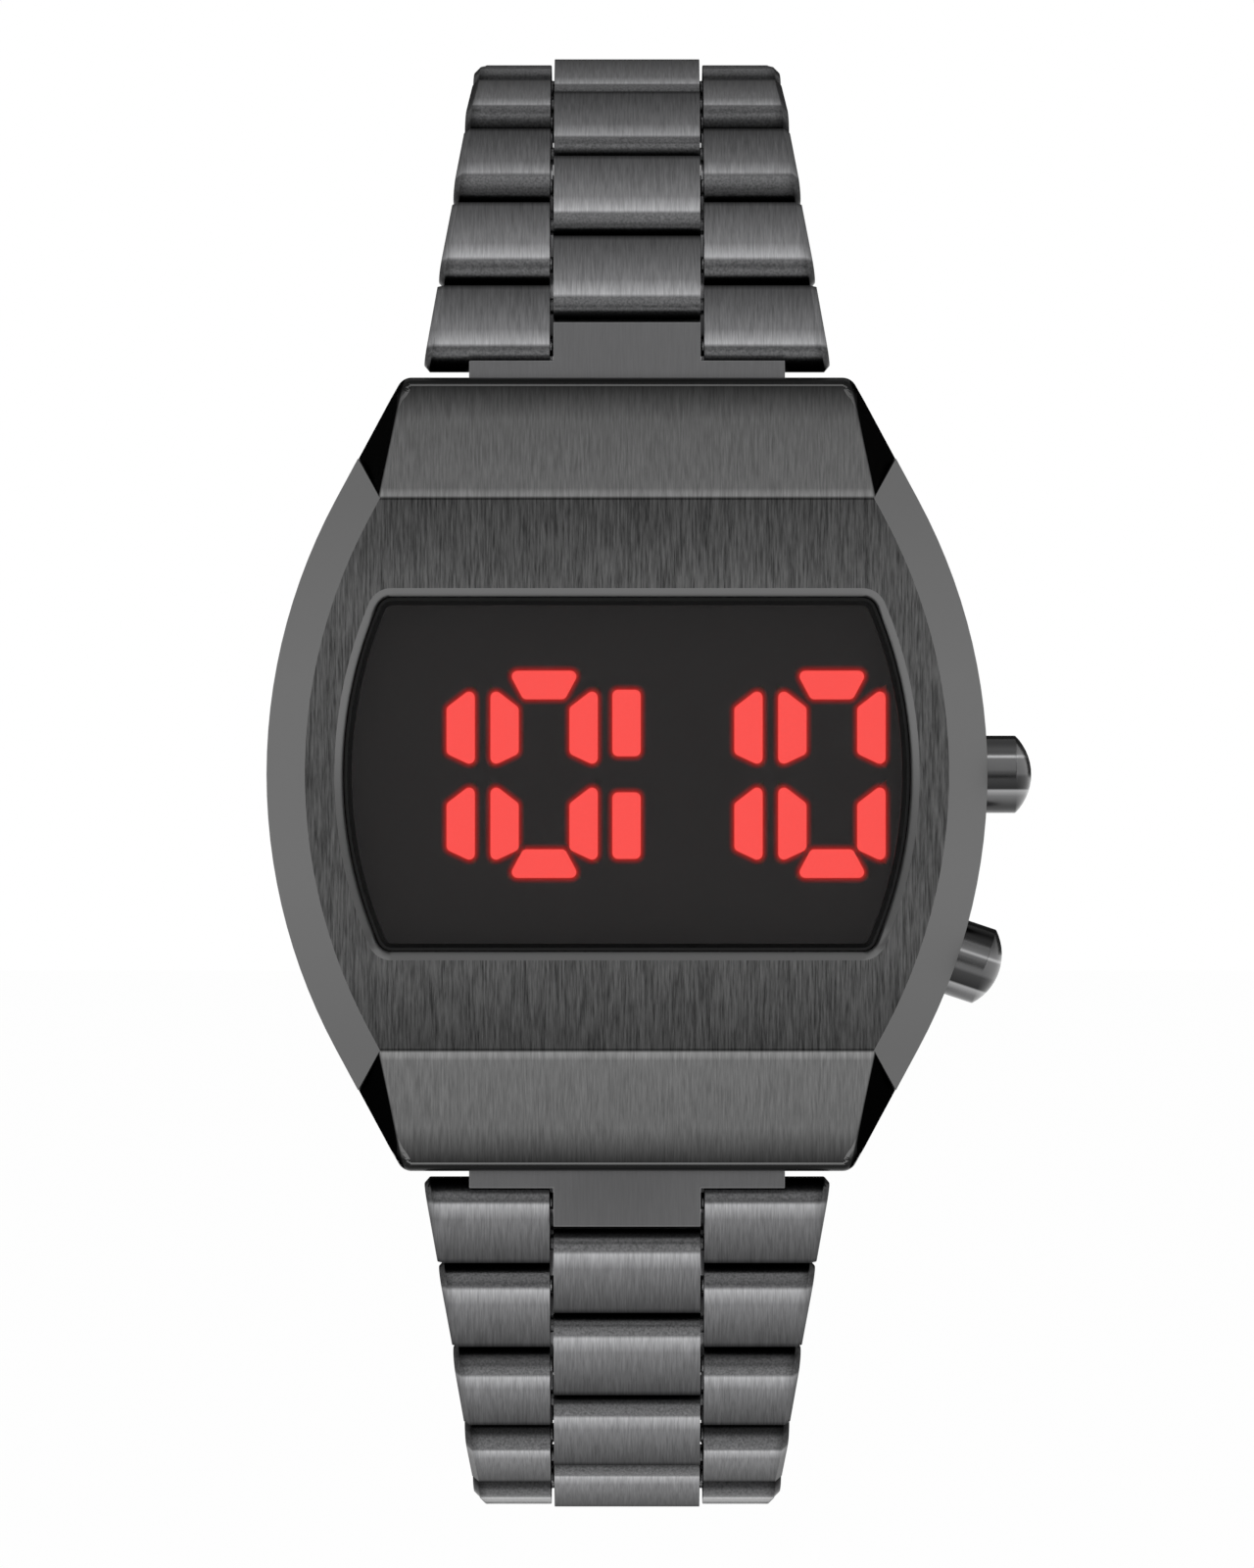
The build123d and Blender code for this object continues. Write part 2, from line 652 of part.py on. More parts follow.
# End link: a wide root in the case notch, a front lip over the first row, and a hinged tongue
root_low_z = half_height - end_link_depth
root_high_z = half_height + end_link_reach
tongue_end_z = hinge_z + link_half_t
with BuildPart() as upper_end_link:
    with BuildSketch(Plane.YZ):
        with BuildLine():
            Polyline((end_link_back - hinge_h, root_low_z), (-hinge_h - end_link_front, root_low_z),
                     (-hinge_h - end_link_front, root_high_z), (end_link_back - hinge_h, root_high_z),
                     close=True)
        make_face()
        with Locations((-hinge_h, hinge_z)):
            Circle(link_half_t + link_gap, mode=Mode.SUBTRACT)
    extrude(amount=end_link_half, both=True)
    with BuildSketch(Plane.YZ):
        with BuildLine():
            Polyline((-hinge_h, tongue_end_z), (-hinge_h - end_link_front, tongue_end_z),
                     (-hinge_h - end_link_front, bar_z), (link_half_t - hinge_h, bar_z),
                     (link_half_t - hinge_h, hinge_z))
            RadiusArc((link_half_t - hinge_h, hinge_z), (-hinge_h, tongue_end_z), -link_half_t)
        make_face()
    extrude(amount=lane_half, both=True)
    with BuildSketch(Plane.YZ):
        with Locations((-hinge_h, hinge_z)):
            Circle(pin_r + pin_clearance)
        with Locations((-hinge_h, bar_z)):
            Circle(bar_r)
    extrude(amount=end_link_half, both=True, mode=Mode.SUBTRACT)
with BuildPart() as lower_end_link:
    mirror(upper_end_link.part, about=Plane.XY)
upper_end_link.part.label = "upper_end_link"
export_step(upper_end_link.part, "parts/upper_end_link.step")
lower_end_link.part.label = "lower_end_link"
export_step(lower_end_link.part, "parts/lower_end_link.step")

with BuildPart() as case_bars:
    with BuildSketch(Plane.YZ):
        with Locations((-hinge_h, bar_z), (-hinge_h, -bar_z)):
            Circle(bar_r)
    extrude(amount=end_link_half, both=True)
    with BuildSketch(Plane.YZ):
        with Locations((-hinge_h, bar_z), (-hinge_h, -bar_z)):
            Circle(bar_tip_r)
    extrude(amount=notch_half_width + bar_tip_length - bar_tip_clearance, both=True)
case_bars.part.label = "case_bars"
export_step(case_bars.part, "parts/case_bars.step")

# Hinge line of one half: each row starts at the pin where the one before it ends
def hinge_line(angles):
    places = [Vector(0, -hinge_h, hinge_z)]
    for angle in angles:
        places.append(places[-1] + Vector(0, sin(radians(angle)), cos(radians(angle))) * pitch)
    return places


half_widths = [last_half_width + (first_half_width - last_half_width) * share for share in width_shares]
half_widths += [last_half_width] * (row_count + 1 - len(width_shares))

upper_hinges = hinge_line(upper_angles)
lower_hinges = hinge_line(lower_angles)

# Both halves are drawn running upwards, then the lower one is turned over
for half, angles, hinges in (("upper", upper_angles, upper_hinges), ("lower", lower_angles, lower_hinges)):
    for row in range(row_count):
        turn = radians(angles[row])
        along = Vector(0, sin(turn), cos(turn))
        # In the side plane x runs along the row and y out of the bracelet
        side = Plane(origin=hinges[row], x_dir=along, z_dir=(1, 0, 0))
        spread = Plane(origin=hinges[row], x_dir=along, z_dir=side.y_dir)
        with BuildPart() as outer_pair:
            with BuildSketch(side):
                with BuildLine():
                    Polyline((0, -link_half_t), (far_end, -link_half_t),
                             (far_end, link_half_t), (0, link_half_t))
                    ThreePointArc((0, link_half_t), (-link_half_t, 0), (0, -link_half_t))
                make_face()
            extrude(amount=first_half_width, both=True)
            with BuildSketch(spread):
                with BuildLine():
                    Polyline((-link_half_t, half_widths[row]), (far_end, half_widths[row + 1]),
                             (far_end, -half_widths[row + 1]), (-link_half_t, -half_widths[row]), close=True)
                make_face()
                Rectangle(2 * pitch, 2 * (lane_half + lane_gap), mode=Mode.SUBTRACT)
            extrude(amount=pitch, both=True, mode=Mode.INTERSECT)
            outward = Axis(side.origin, side.y_dir)
            for end_face in (outer_pair.faces().sort_by(Axis.X)[0], outer_pair.faces().sort_by(Axis.X)[-1]):
                chamfer(end_face.edges().filter_by(GeomType.LINE).sort_by(outward)[-1], length=edge_chamfer)
            with BuildSketch(side):
                with Locations((0, 0), (rivet_u, 0)):
                    Circle(pin_r)
            extrude(amount=lane_half + 2 * lane_gap, both=True)
        with BuildPart() as centre_link:
            with BuildSketch(side) as profile:
                with BuildLine():
                    Polyline((pitch, -link_half_t), (near_end, -link_half_t), (near_end, link_half_t),
                             (pitch + link_half_t, link_half_t), (pitch + link_half_t, 0))
                    RadiusArc((pitch + link_half_t, 0), (pitch, -link_half_t), link_half_t)
                make_face()
                near_corners = profile.vertices().group_by(Axis.X)[0].sort_by(Axis.Y)
                fillet(near_corners[0], radius=back_fillet)
                near_corners = profile.vertices().group_by(Axis.X)[0].sort_by(Axis.Y)
                fillet(near_corners[-1], radius=nose_fillet)
                with Locations((pitch, 0)):
                    Circle(pin_r + pin_clearance, mode=Mode.SUBTRACT)
                with Locations((rivet_u, 0)):
                    Circle(pin_r + rivet_clearance, mode=Mode.SUBTRACT)
            extrude(amount=lane_half, both=True)
        with BuildPart() as bracelet_row:
            add(outer_pair.part)
            add(centre_link.part)
        if half == "lower":
            with BuildPart() as turned_row:
                mirror(bracelet_row.part, about=Plane.XY)
            bracelet_row = turned_row
        bracelet_row.part.label = f"{half}_row_{row + 1}"
        export_step(bracelet_row.part, f"parts/{half}_row_{row + 1}.step")

# Clasp: its arc passes through the last hinge of both halves of the bracelet
upper_end = upper_hinges[-1]
lower_end = Vector(0, lower_hinges[-1].Y, -lower_hinges[-1].Z)
clasp_chord = upper_end - lower_end
bar_angle = degrees(asin(clasp_chord.length / 2 / clasp_arc_r))
clasp_tilt = degrees(atan2(clasp_chord.Y, clasp_chord.Z))
clasp_outward = Vector(0, cos(radians(clasp_tilt)), -sin(radians(clasp_tilt)))
clasp_centre = (upper_end + lower_end) / 2 - clasp_outward * clasp_arc_r * cos(radians(bar_angle))


def clasp_place(v, angle):
    # v outward from the clasp's arc, at an angle above the middle of the clasp
    turn = radians(angle - clasp_tilt)
    return (clasp_centre.Y + (clasp_arc_r + v) * cos(turn), clasp_centre.Z + (clasp_arc_r + v) * sin(turn))


def clasp_band(v, t, low_angle, high_angle):
    # The outline of a curved strip of thickness t whose inner side is at v
    middle = (low_angle + high_angle) / 2
    with BuildSketch() as band:
        with BuildLine():
            ThreePointArc(clasp_place(v, low_angle), clasp_place(v, middle), clasp_place(v, high_angle))
            Line(clasp_place(v, high_angle), clasp_place(v + t, high_angle))
            ThreePointArc(clasp_place(v + t, high_angle), clasp_place(v + t, middle),
                          clasp_place(v + t, low_angle))
            Line(clasp_place(v + t, low_angle), clasp_place(v, low_angle))
        make_face()
    return band.sketch


degrees_per_length = degrees(1 / clasp_arc_r)
fold_angle = bar_angle - fold_from_bar * degrees_per_length
hinge_angle = -bar_angle + hinge_from_bar * degrees_per_length
cover_high = bar_angle + cover_lip * degrees_per_length
cover_low = hinge_angle - fold_ring_r * degrees_per_length
cover_inner_half = last_half_width + cover_clearance
cover_half = cover_inner_half + cover_wall
bar_place = clasp_place(0, bar_angle)
hinge_place = clasp_place(outer_blade_v, hinge_angle)
fold_place = clasp_place(fold_v, fold_angle)
fork_place = clasp_place(0, -bar_angle)

with BuildPart() as clasp_cover:
    with BuildSketch(Plane.YZ):
        add(clasp_band(-cover_skirt_v, cover_skirt_v + cover_roof_v + cover_roof, cover_low, cover_high))
    extrude(amount=cover_half, both=True)
    with BuildSketch(Plane.YZ):
        add(clasp_band(-cover_skirt_v - overrun, cover_skirt_v + cover_roof_v + overrun, cover_low - overrun,
                       cover_high + overrun))
    extrude(amount=cover_inner_half, both=True, mode=Mode.SUBTRACT)
    roof_edges = clasp_cover.faces().sort_by(Axis.Y)[-1].edges()
    chamfer(roof_edges, length=cover_edge)
    with BuildSketch(Plane.YZ):
        with Locations(bar_place):
            Circle(pin_r)
        with Locations(hinge_place):
            Circle(fold_pin_r)
    extrude(amount=cover_half, both=True, mode=Mode.SUBTRACT)
clasp_cover.part.label = "clasp_cover"
export_step(clasp_cover.part, "parts/clasp_cover.step")

with BuildPart() as cover_bar:
    with BuildSketch(Plane.YZ):
        with Locations(bar_place):
            Circle(pin_r)
    extrude(amount=cover_half, both=True)
cover_bar.part.label = "cover_bar"
export_step(cover_bar.part, "parts/cover_bar.step")

with BuildPart() as cover_hinge_pin:
    with BuildSketch(Plane.YZ):
        with Locations(hinge_place):
            Circle(fold_pin_r)
    extrude(amount=cover_half, both=True)
cover_hinge_pin.part.label = "cover_hinge_pin"
export_step(cover_hinge_pin.part, "parts/cover_hinge_pin.step")

# Outer blade: rolled round the cover's pin at one end and the fold pin at the other
with BuildPart() as outer_blade:
    with BuildSketch(Plane.YZ):
        add(clasp_band(outer_blade_v - blade_t / 2, blade_t, hinge_angle, fold_angle))
        with Locations(hinge_place):
            Circle(fold_ring_r)
    extrude(amount=blade_half, both=True)
    with BuildSketch(Plane.YZ):
        with Locations(fold_place):
            Circle(fold_ring_r + fold_gap)
    extrude(amount=blade_half, both=True, mode=Mode.SUBTRACT)
    with BuildSketch(Plane.YZ):
        add(clasp_band(outer_blade_v - blade_t / 2, blade_t,
                       fold_angle - 2 * fold_ring_r * degrees_per_length, fold_angle))
        with Locations(fold_place):
            Circle(fold_ring_r)
    extrude(amount=fold_knuckle_half, both=True)
    with BuildSketch(Plane.YZ):
        with Locations(hinge_place):
            Circle(fold_pin_r + fold_pin_clearance)
        with Locations(fold_place):
            Circle(fold_pin_r)
    extrude(amount=blade_half, both=True, mode=Mode.SUBTRACT)
outer_blade.part.label = "outer_blade"
export_step(outer_blade.part, "parts/outer_blade.step")

with BuildPart() as fold_pin:
    with BuildSketch(Plane.YZ):
        with Locations(fold_place):
            Circle(fold_pin_r)
    extrude(amount=blade_half, both=True)
fold_pin.part.label = "fold_pin"
export_step(fold_pin.part, "parts/fold_pin.step")

# Inner blade: two knuckles on the fold pin, and a fork that takes the lower half's last tongue
fork_web_angle = -bar_angle + (link_half_t + fork_gap) * degrees_per_length
with BuildPart() as inner_blade:
    with BuildSketch(Plane.YZ):
        add(clasp_band(inner_blade_v - blade_t / 2, blade_t, -bar_angle, fold_angle))
        with Locations(fold_place):
            Circle(fold_ring_r)
        with Locations(fork_place):
            Circle(fork_ring_r)
    extrude(amount=blade_half, both=True)
    with BuildSketch(Plane.YZ):
        with Locations(fold_place):
            Circle(fold_ring_r + fold_gap)
    extrude(amount=fold_knuckle_half + fold_gap, both=True, mode=Mode.SUBTRACT)
    with BuildSketch(Plane.YZ):
        add(clasp_band(-overrun, 2 * overrun, -bar_angle - overrun, fork_web_angle))
    extrude(amount=fork_half, both=True, mode=Mode.SUBTRACT)
    with BuildSketch(Plane.YZ):
        with Locations(fork_place):
            Circle(pin_r)
        with Locations(fold_place):
            Circle(fold_pin_r + fold_pin_clearance)
    extrude(amount=blade_half, both=True, mode=Mode.SUBTRACT)
inner_blade.part.label = "inner_blade"
export_step(inner_blade.part, "parts/inner_blade.step")

# The bar at the open pivot, drawn pressed in flush with the tongue that holds it
with BuildPart() as fork_bar:
    with BuildSketch(Plane.YZ):
        with Locations(fork_place):
            Circle(pin_r)
    extrude(amount=lane_half, both=True)
fork_bar.part.label = "fork_bar"
export_step(fork_bar.part, "parts/fork_bar.step")
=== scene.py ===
# Red figure digital wrist watch: finishes, fine edges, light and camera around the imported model.
import math

import bpy
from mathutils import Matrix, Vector


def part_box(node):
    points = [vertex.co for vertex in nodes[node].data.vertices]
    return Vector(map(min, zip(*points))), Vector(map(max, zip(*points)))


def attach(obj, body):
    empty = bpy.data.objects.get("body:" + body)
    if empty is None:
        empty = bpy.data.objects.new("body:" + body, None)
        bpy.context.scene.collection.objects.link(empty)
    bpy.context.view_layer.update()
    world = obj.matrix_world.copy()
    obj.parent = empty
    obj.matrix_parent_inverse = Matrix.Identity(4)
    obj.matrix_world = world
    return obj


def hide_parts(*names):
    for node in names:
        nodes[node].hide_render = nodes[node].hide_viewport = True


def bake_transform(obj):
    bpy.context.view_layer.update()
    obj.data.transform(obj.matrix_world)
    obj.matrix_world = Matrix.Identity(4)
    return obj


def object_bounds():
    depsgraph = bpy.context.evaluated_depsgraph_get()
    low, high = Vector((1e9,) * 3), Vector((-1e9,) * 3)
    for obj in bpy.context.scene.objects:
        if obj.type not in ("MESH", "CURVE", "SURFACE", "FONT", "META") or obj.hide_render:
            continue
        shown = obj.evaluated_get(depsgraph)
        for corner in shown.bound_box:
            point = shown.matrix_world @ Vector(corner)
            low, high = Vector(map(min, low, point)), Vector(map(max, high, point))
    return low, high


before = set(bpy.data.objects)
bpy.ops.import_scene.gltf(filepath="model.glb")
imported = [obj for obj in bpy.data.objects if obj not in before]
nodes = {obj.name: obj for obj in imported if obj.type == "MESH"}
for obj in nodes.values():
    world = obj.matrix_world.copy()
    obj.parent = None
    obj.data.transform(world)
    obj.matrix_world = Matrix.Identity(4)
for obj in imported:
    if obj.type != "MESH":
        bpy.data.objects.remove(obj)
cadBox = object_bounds()
mm = 0.001
scene = bpy.context.scene
scene.view_settings.view_transform = "Standard"
print("frame loaded:", len(nodes), "nodes")


# Helpers
def linear(hexColour):
    channels = [int(hexColour[i:i + 2], 16) / 255 for i in (1, 3, 5)]
    return tuple(c / 12.92 if c <= 0.04045 else ((c + 0.055) / 1.055) ** 2.4 for c in channels) + (1.0,)


def newMaterial(name):
    material = bpy.data.materials.new(name)
    material.use_nodes = True
    material.node_tree.nodes.clear()
    return material


# Adds one node to a material or the world: settings are properties or input values, links map an input to
# another node's output
def addNode(material, kind, settings=None, links=None):
    node = material.node_tree.nodes.new("ShaderNode" + kind)
    for key, value in (settings or {}).items():
        if isinstance(key, int) or key in node.inputs:
            node.inputs[key].default_value = value
        else:
            setattr(node, key, value)
    for key, source in (links or {}).items():
        material.node_tree.links.new(source, node.inputs[key])
    return node


# Sets a new ramp's stops as (position, grey level), first to last
def setStops(ramp, stops):
    while len(ramp.color_ramp.elements) < len(stops):
        ramp.color_ramp.elements.new(0.5)
    for stop, (position, level) in zip(ramp.color_ramp.elements, stops):
        stop.position = position
        stop.color = (level, level, level, 1)


# The span that most of a noise texture's values lie in, and two plain ways to mix
noiseSpan = {"From Min": 0.3, "From Max": 0.7}
multiplied = {"data_type": "RGBA", "blend_type": "MULTIPLY", 0: 1.0}
mixedValue = {"data_type": "FLOAT"}


# Fine brush lines: a noise drawn out lengthwise, a little coarser than the real 0.03 mm so that it shows
def brushLines(material, look, place):
    stretch = addNode(material, "Mapping", {"Scale": (1 / look["lineSpacing"], 1 / look["lineLength"],
                                                      1 / look["lineLength"])},
                      {"Vector": place.outputs["Object"]})
    return addNode(material, "TexNoise", {"Scale": 1.0, "Detail": 3.0, "Roughness": 0.6},
                   {"Vector": stretch.outputs["Vector"]})


# Adds a mesh object at the origin, with its place in its corners
def addPiece(name, corners, faces, material):
    shape = bpy.data.meshes.new(name)
    shape.from_pydata(corners, [], faces)
    shape.materials.append(material)
    piece = bpy.data.objects.new(name, shape)
    scene.collection.objects.link(piece)
    return piece


def dress(names, material):
    for name in names:
        shape = nodes[name].data
        shape.materials.clear()
        shape.materials.append(material)


# How near corners are joined, how flat a face has to be, in degrees, and how many steps an edge is turned in
fineEdges = {"weldWithin": 0.0004 * mm, "flatWithin": 0.4, "segments": 2}


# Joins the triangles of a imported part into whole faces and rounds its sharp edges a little
def softenEdges(names, width, sharpest=25):
    for name in names:
        piece = nodes[name]
        piece.data.shade_smooth()
        weld = piece.modifiers.new("weld", "WELD")
        weld.merge_threshold = fineEdges["weldWithin"]
        flatten = piece.modifiers.new("wholeFaces", "DECIMATE")
        flatten.decimate_type = "DISSOLVE"
        flatten.angle_limit = math.radians(fineEdges["flatWithin"])
        edge = piece.modifiers.new("fineEdge", "BEVEL")
        edge.width = width
        edge.segments = fineEdges["segments"]
        edge.limit_method = "ANGLE"
        edge.angle_limit = math.radians(sharpest)
        edge.use_clamp_overlap = True
        shade = piece.modifiers.new("evenShade", "WEIGHTED_NORMAL")
        shade.mode = "FACE_AREA"


# Brushed and polished steel
# Grey plated 316 steel. Fine lengthwise brush lines give a soft sheen that is broken across the lines.
def brushedSteel(look):
    material = newMaterial(look["name"])
    place = addNode(material, "TexCoord")
    lines = brushLines(material, look, place)
    cloud = addNode(material, "TexNoise", {"Scale": 1 / look["cloudSize"], "Detail": 2.0},
                    {"Vector": place.outputs["Object"]})
    tone = addNode(material, "MapRange", noiseSpan | {"To Min": 1 - look["lineContrast"],
                                                     "To Max": 1 + look["lineContrast"]},
                   {"Value": lines.outputs["Fac"]})
    colour = addNode(material, "Mix", multiplied | {6: linear(look["colour"])},
                     {7: tone.outputs["Result"]})
    rough = addNode(material, "MapRange", noiseSpan | {"To Min": look["roughness"] - look["roughnessSpread"],
                                                      "To Max": look["roughness"] + look["roughnessSpread"]},
                    {"Value": cloud.outputs["Fac"]})
    relief = addNode(material, "Bump", {"Strength": look["reliefStrength"], "Distance": look["relief"]},
                     {"Height": lines.outputs["Fac"]})
    shader = addNode(material, "BsdfPrincipled", {"Metallic": 1.0},
                     {"Base Color": colour.outputs[2], "Roughness": rough.outputs["Result"],
                      "Normal": relief.outputs["Normal"]})
    addNode(material, "OutputMaterial", {}, {"Surface": shader.outputs["BSDF"]})
    return material


# The case: upright brush lines on the plate and the end slopes, smooth satin on the side bevels, a ring
# round the window, and corner facets painted almost black as a painted reflection. A ramp up the case paints
# the plate's dark far edge as painted shade, a thin black line of painted shade and a bright line of painted
# highlight at the fold, and painted shade on the rolled end. The satin is painted darker towards the ends,
# and faces that face the front but lean sideways get a painted highlight. These painted tones stand in for
# the reflections of the room, and stay where they are when the view changes.
def zonedCaseSteel(look):
    material = newMaterial(look["name"])
    place = addNode(material, "TexCoord")
    spot = addNode(material, "VectorMath", {"operation": "ABSOLUTE"}, {0: place.outputs["Object"]})
    reach = addNode(material, "SeparateXYZ", {}, {0: spot.outputs[0]})
    facing = addNode(material, "NewGeometry")
    sides = addNode(material, "VectorMath", {"operation": "ABSOLUTE"}, {0: facing.outputs["True Normal"]})
    parts = addNode(material, "SeparateXYZ", {}, {0: sides.outputs[0]})
    straight = addNode(material, "Math", {"operation": "LESS_THAN", 1: look["straightBelow"]},
                       {0: parts.outputs["X"]})
    shallow = addNode(material, "Math", {"operation": "GREATER_THAN", 1: look["shallowAbove"]},
                      {0: parts.outputs["Y"]})
    brushed = addNode(material, "Math", {"operation": "MULTIPLY"},
                      {0: straight.outputs[0], 1: shallow.outputs[0]})
    # The ring round the window is known by its slant
    ring = addNode(material, "Math", {"operation": "COMPARE", 1: look["ringFacing"], 2: look["ringMargin"]},
                   {0: parts.outputs["Y"]})
    foldSide = addNode(material, "Math", {"operation": "MULTIPLY_ADD", 1: look["cornerLean"]},
                       {0: reach.outputs["Z"], 2: reach.outputs["X"]})
    pastFold = addNode(material, "MapRange", {"From Min": look["cornerInner"],
                                              "From Max": look["cornerInner"] + look["cornerBlend"]},
                       {"Value": foldSide.outputs[0]})
    bevelSide = addNode(material, "Math", {"operation": "MULTIPLY_ADD", 1: -look["bevelLean"]},
                        {0: reach.outputs["X"], 2: reach.outputs["Z"]})
    pastBevel = addNode(material, "MapRange", {"From Min": look["cornerOuter"],
                                               "From Max": look["cornerOuter"] + look["bevelBlend"]},
                        {"Value": bevelSide.outputs[0]})
    slant = addNode(material, "Math", {"operation": "GREATER_THAN", 1: look["slantAbove"]},
                    {0: parts.outputs["Y"]})
    corner = addNode(material, "Math", {"operation": "MULTIPLY"},
                     {0: pastFold.outputs["Result"], 1: pastBevel.outputs["Result"]})
    corner = addNode(material, "Math", {"operation": "MULTIPLY"},
                     {0: corner.outputs[0], 1: slant.outputs[0]})
    lines = brushLines(material, look, place)
    plate = addNode(material, "Math", {"operation": "LESS_THAN", 1: look["foldHeight"]},
                    {0: reach.outputs["Z"]})
    depth = addNode(material, "MapRange", {"To Min": look["slopeContrast"], "To Max": look["lineContrast"]},
                    {"Value": plate.outputs[0]})
    swing = addNode(material, "MapRange", noiseSpan | {"To Min": -1.0, "To Max": 1.0},
                    {"Value": lines.outputs["Fac"]})
    streak = addNode(material, "Math", {"operation": "MULTIPLY_ADD", 2: 1.0},
                     {0: swing.outputs["Result"], 1: depth.outputs["Result"]})
    share = addNode(material, "Math", {"operation": "DIVIDE", 1: look["halfHeight"]},
                    {0: reach.outputs["Z"]})
    # Painted shade and highlights up the case come from this ramp
    ramp = addNode(material, "ValToRGB", {}, {"Fac": share.outputs[0]})
    # A ramp holds levels up to 1, so they are halved here and doubled again below
    setStops(ramp, [(height * mm / look["halfHeight"], level / 2) for height, level in look["paintedShadeAndHighlightTones"]])
    streakedPaintedTone = addNode(material, "Math", {"operation": "MULTIPLY"},
                        {0: ramp.outputs["Color"], 1: streak.outputs[0]})
    streakedPaintedLevel = addNode(material, "Math", {"operation": "MULTIPLY", 1: 2.0}, {0: streakedPaintedTone.outputs[0]})
    # Painted shade: the satin side bevels darken towards the ends of the case
    satin = addNode(material, "MapRange", {"From Min": look["satinFade"], "From Max": look["foldHeight"],
                                           "To Min": look["satinTone"],
                                           "To Max": look["satinFarPaintedShade"] * look["satinTone"]},
                    {"Value": reach.outputs["Z"]})
    # Painted shade: the rolled end is made dark towards its top
    rolledShade = addNode(material, "MapRange", {"From Min": look["rolledStart"], "From Max": look["rolledEnd"],
                                            "To Min": 1.0, "To Max": look["rolledEndPaintedShade"]},
                     {"Value": reach.outputs["Z"]})
    # Painted highlight: faces that face the front but lean sideways take a bright tone
    tone = addNode(material, "Mix", mixedValue | {3: look["paintedEdgeTone"]},
                   {0: shallow.outputs[0], 2: satin.outputs["Result"]})
    tone = addNode(material, "Math", {"operation": "MULTIPLY"},
                   {0: tone.outputs[0], 1: rolledShade.outputs["Result"]})
    tone = addNode(material, "Mix", mixedValue,
                   {0: brushed.outputs[0], 2: tone.outputs[0], 3: streakedPaintedLevel.outputs[0]})
    tone = addNode(material, "Mix", mixedValue | {3: look["ringTone"]},
                   {0: ring.outputs[0], 2: tone.outputs[0]})
    # Painted reflection: the corner facets are made almost black
    tone = addNode(material, "Mix", mixedValue | {3: look["cornerPaintedDarkTone"]},
                   {0: corner.outputs[0], 2: tone.outputs[0]})
    colour = addNode(material, "Mix", multiplied | {6: linear(look["colour"])},
                     {7: tone.outputs[0]})
    rough = addNode(material, "MapRange", {"To Min": look["satinRoughness"], "To Max": look["roughness"]},
                    {"Value": brushed.outputs[0]})
    reliefStrength = addNode(material, "Math", {"operation": "MULTIPLY", 1: look["reliefStrength"]},
                             {0: brushed.outputs[0]})
    relief = addNode(material, "Bump", {"Distance": look["relief"]},
                     {"Height": lines.outputs["Fac"], "Strength": reliefStrength.outputs[0]})
    # The painted dark reflection on the corner facets holds at a grazing view too, by a dark specular tint
    tint = addNode(material, "MapRange", {"To Min": 1.0, "To Max": look["cornerPaintedDimTint"]},
                   {"Value": corner.outputs[0]})
    shader = addNode(material, "BsdfPrincipled", {"Metallic": 1.0},
                     {"Base Color": colour.outputs[2], "Roughness": rough.outputs["Result"],
                      "Specular Tint": tint.outputs["Result"], "Normal": relief.outputs["Normal"]})
    addNode(material, "OutputMaterial", {}, {"Surface": shader.outputs["BSDF"]})
    return material


caseLook = {
    "name": "brushedGreySteel", "colour": "#6b6b6b", "lineSpacing": 0.07 * mm, "lineLength": 1.3 * mm,
    "cloudSize": 6 * mm, "lineContrast": 0.16, "roughness": 0.34, "roughnessSpread": 0.04,
    "reliefStrength": 0.25, "relief": 0.012 * mm,
}
linkLook = {
    "name": "brushedLinkSteel", "colour": "#5c5c5d", "lineSpacing": 0.06 * mm, "lineLength": 1.1 * mm,
    "cloudSize": 4 * mm, "lineContrast": 0.2, "roughness": 0.33, "roughnessSpread": 0.05,
    "reliefStrength": 0.3, "relief": 0.012 * mm,
}
# The tones along a link are painted shade and highlights, and its darker outer edges are painted shade
bandedLook = dict(
    linkLook, name="bandedLinkSteel", laneHalf=4.0 * mm, noseReach=1.3 * mm, centreStart=1.4 * mm,
    linkLength=4.4 * mm, noseShare=0.27, noseBlend=0.05, grain=0.12 * mm, grainStrength=0.4,
    grainContrast=0.32, lineSpacing=0.09 * mm, lineContrast=0.24, brightest=4.2, edgeShadeWidth=1.0 * mm,
    paintedEdgeTone=0.3,
    bands=((0.0, 0.02), (0.06, 0.1), (0.1, 0.26), (0.24, 0.36), (0.28, 1.0), (0.34, 0.8), (0.46, 0.46),
           (0.7, 0.3), (0.94, 0.17), (1.0, 0.03)))
claspLook = dict(linkLook, name="brushedClaspSteel", colour="#616162", lineLength=6 * mm)
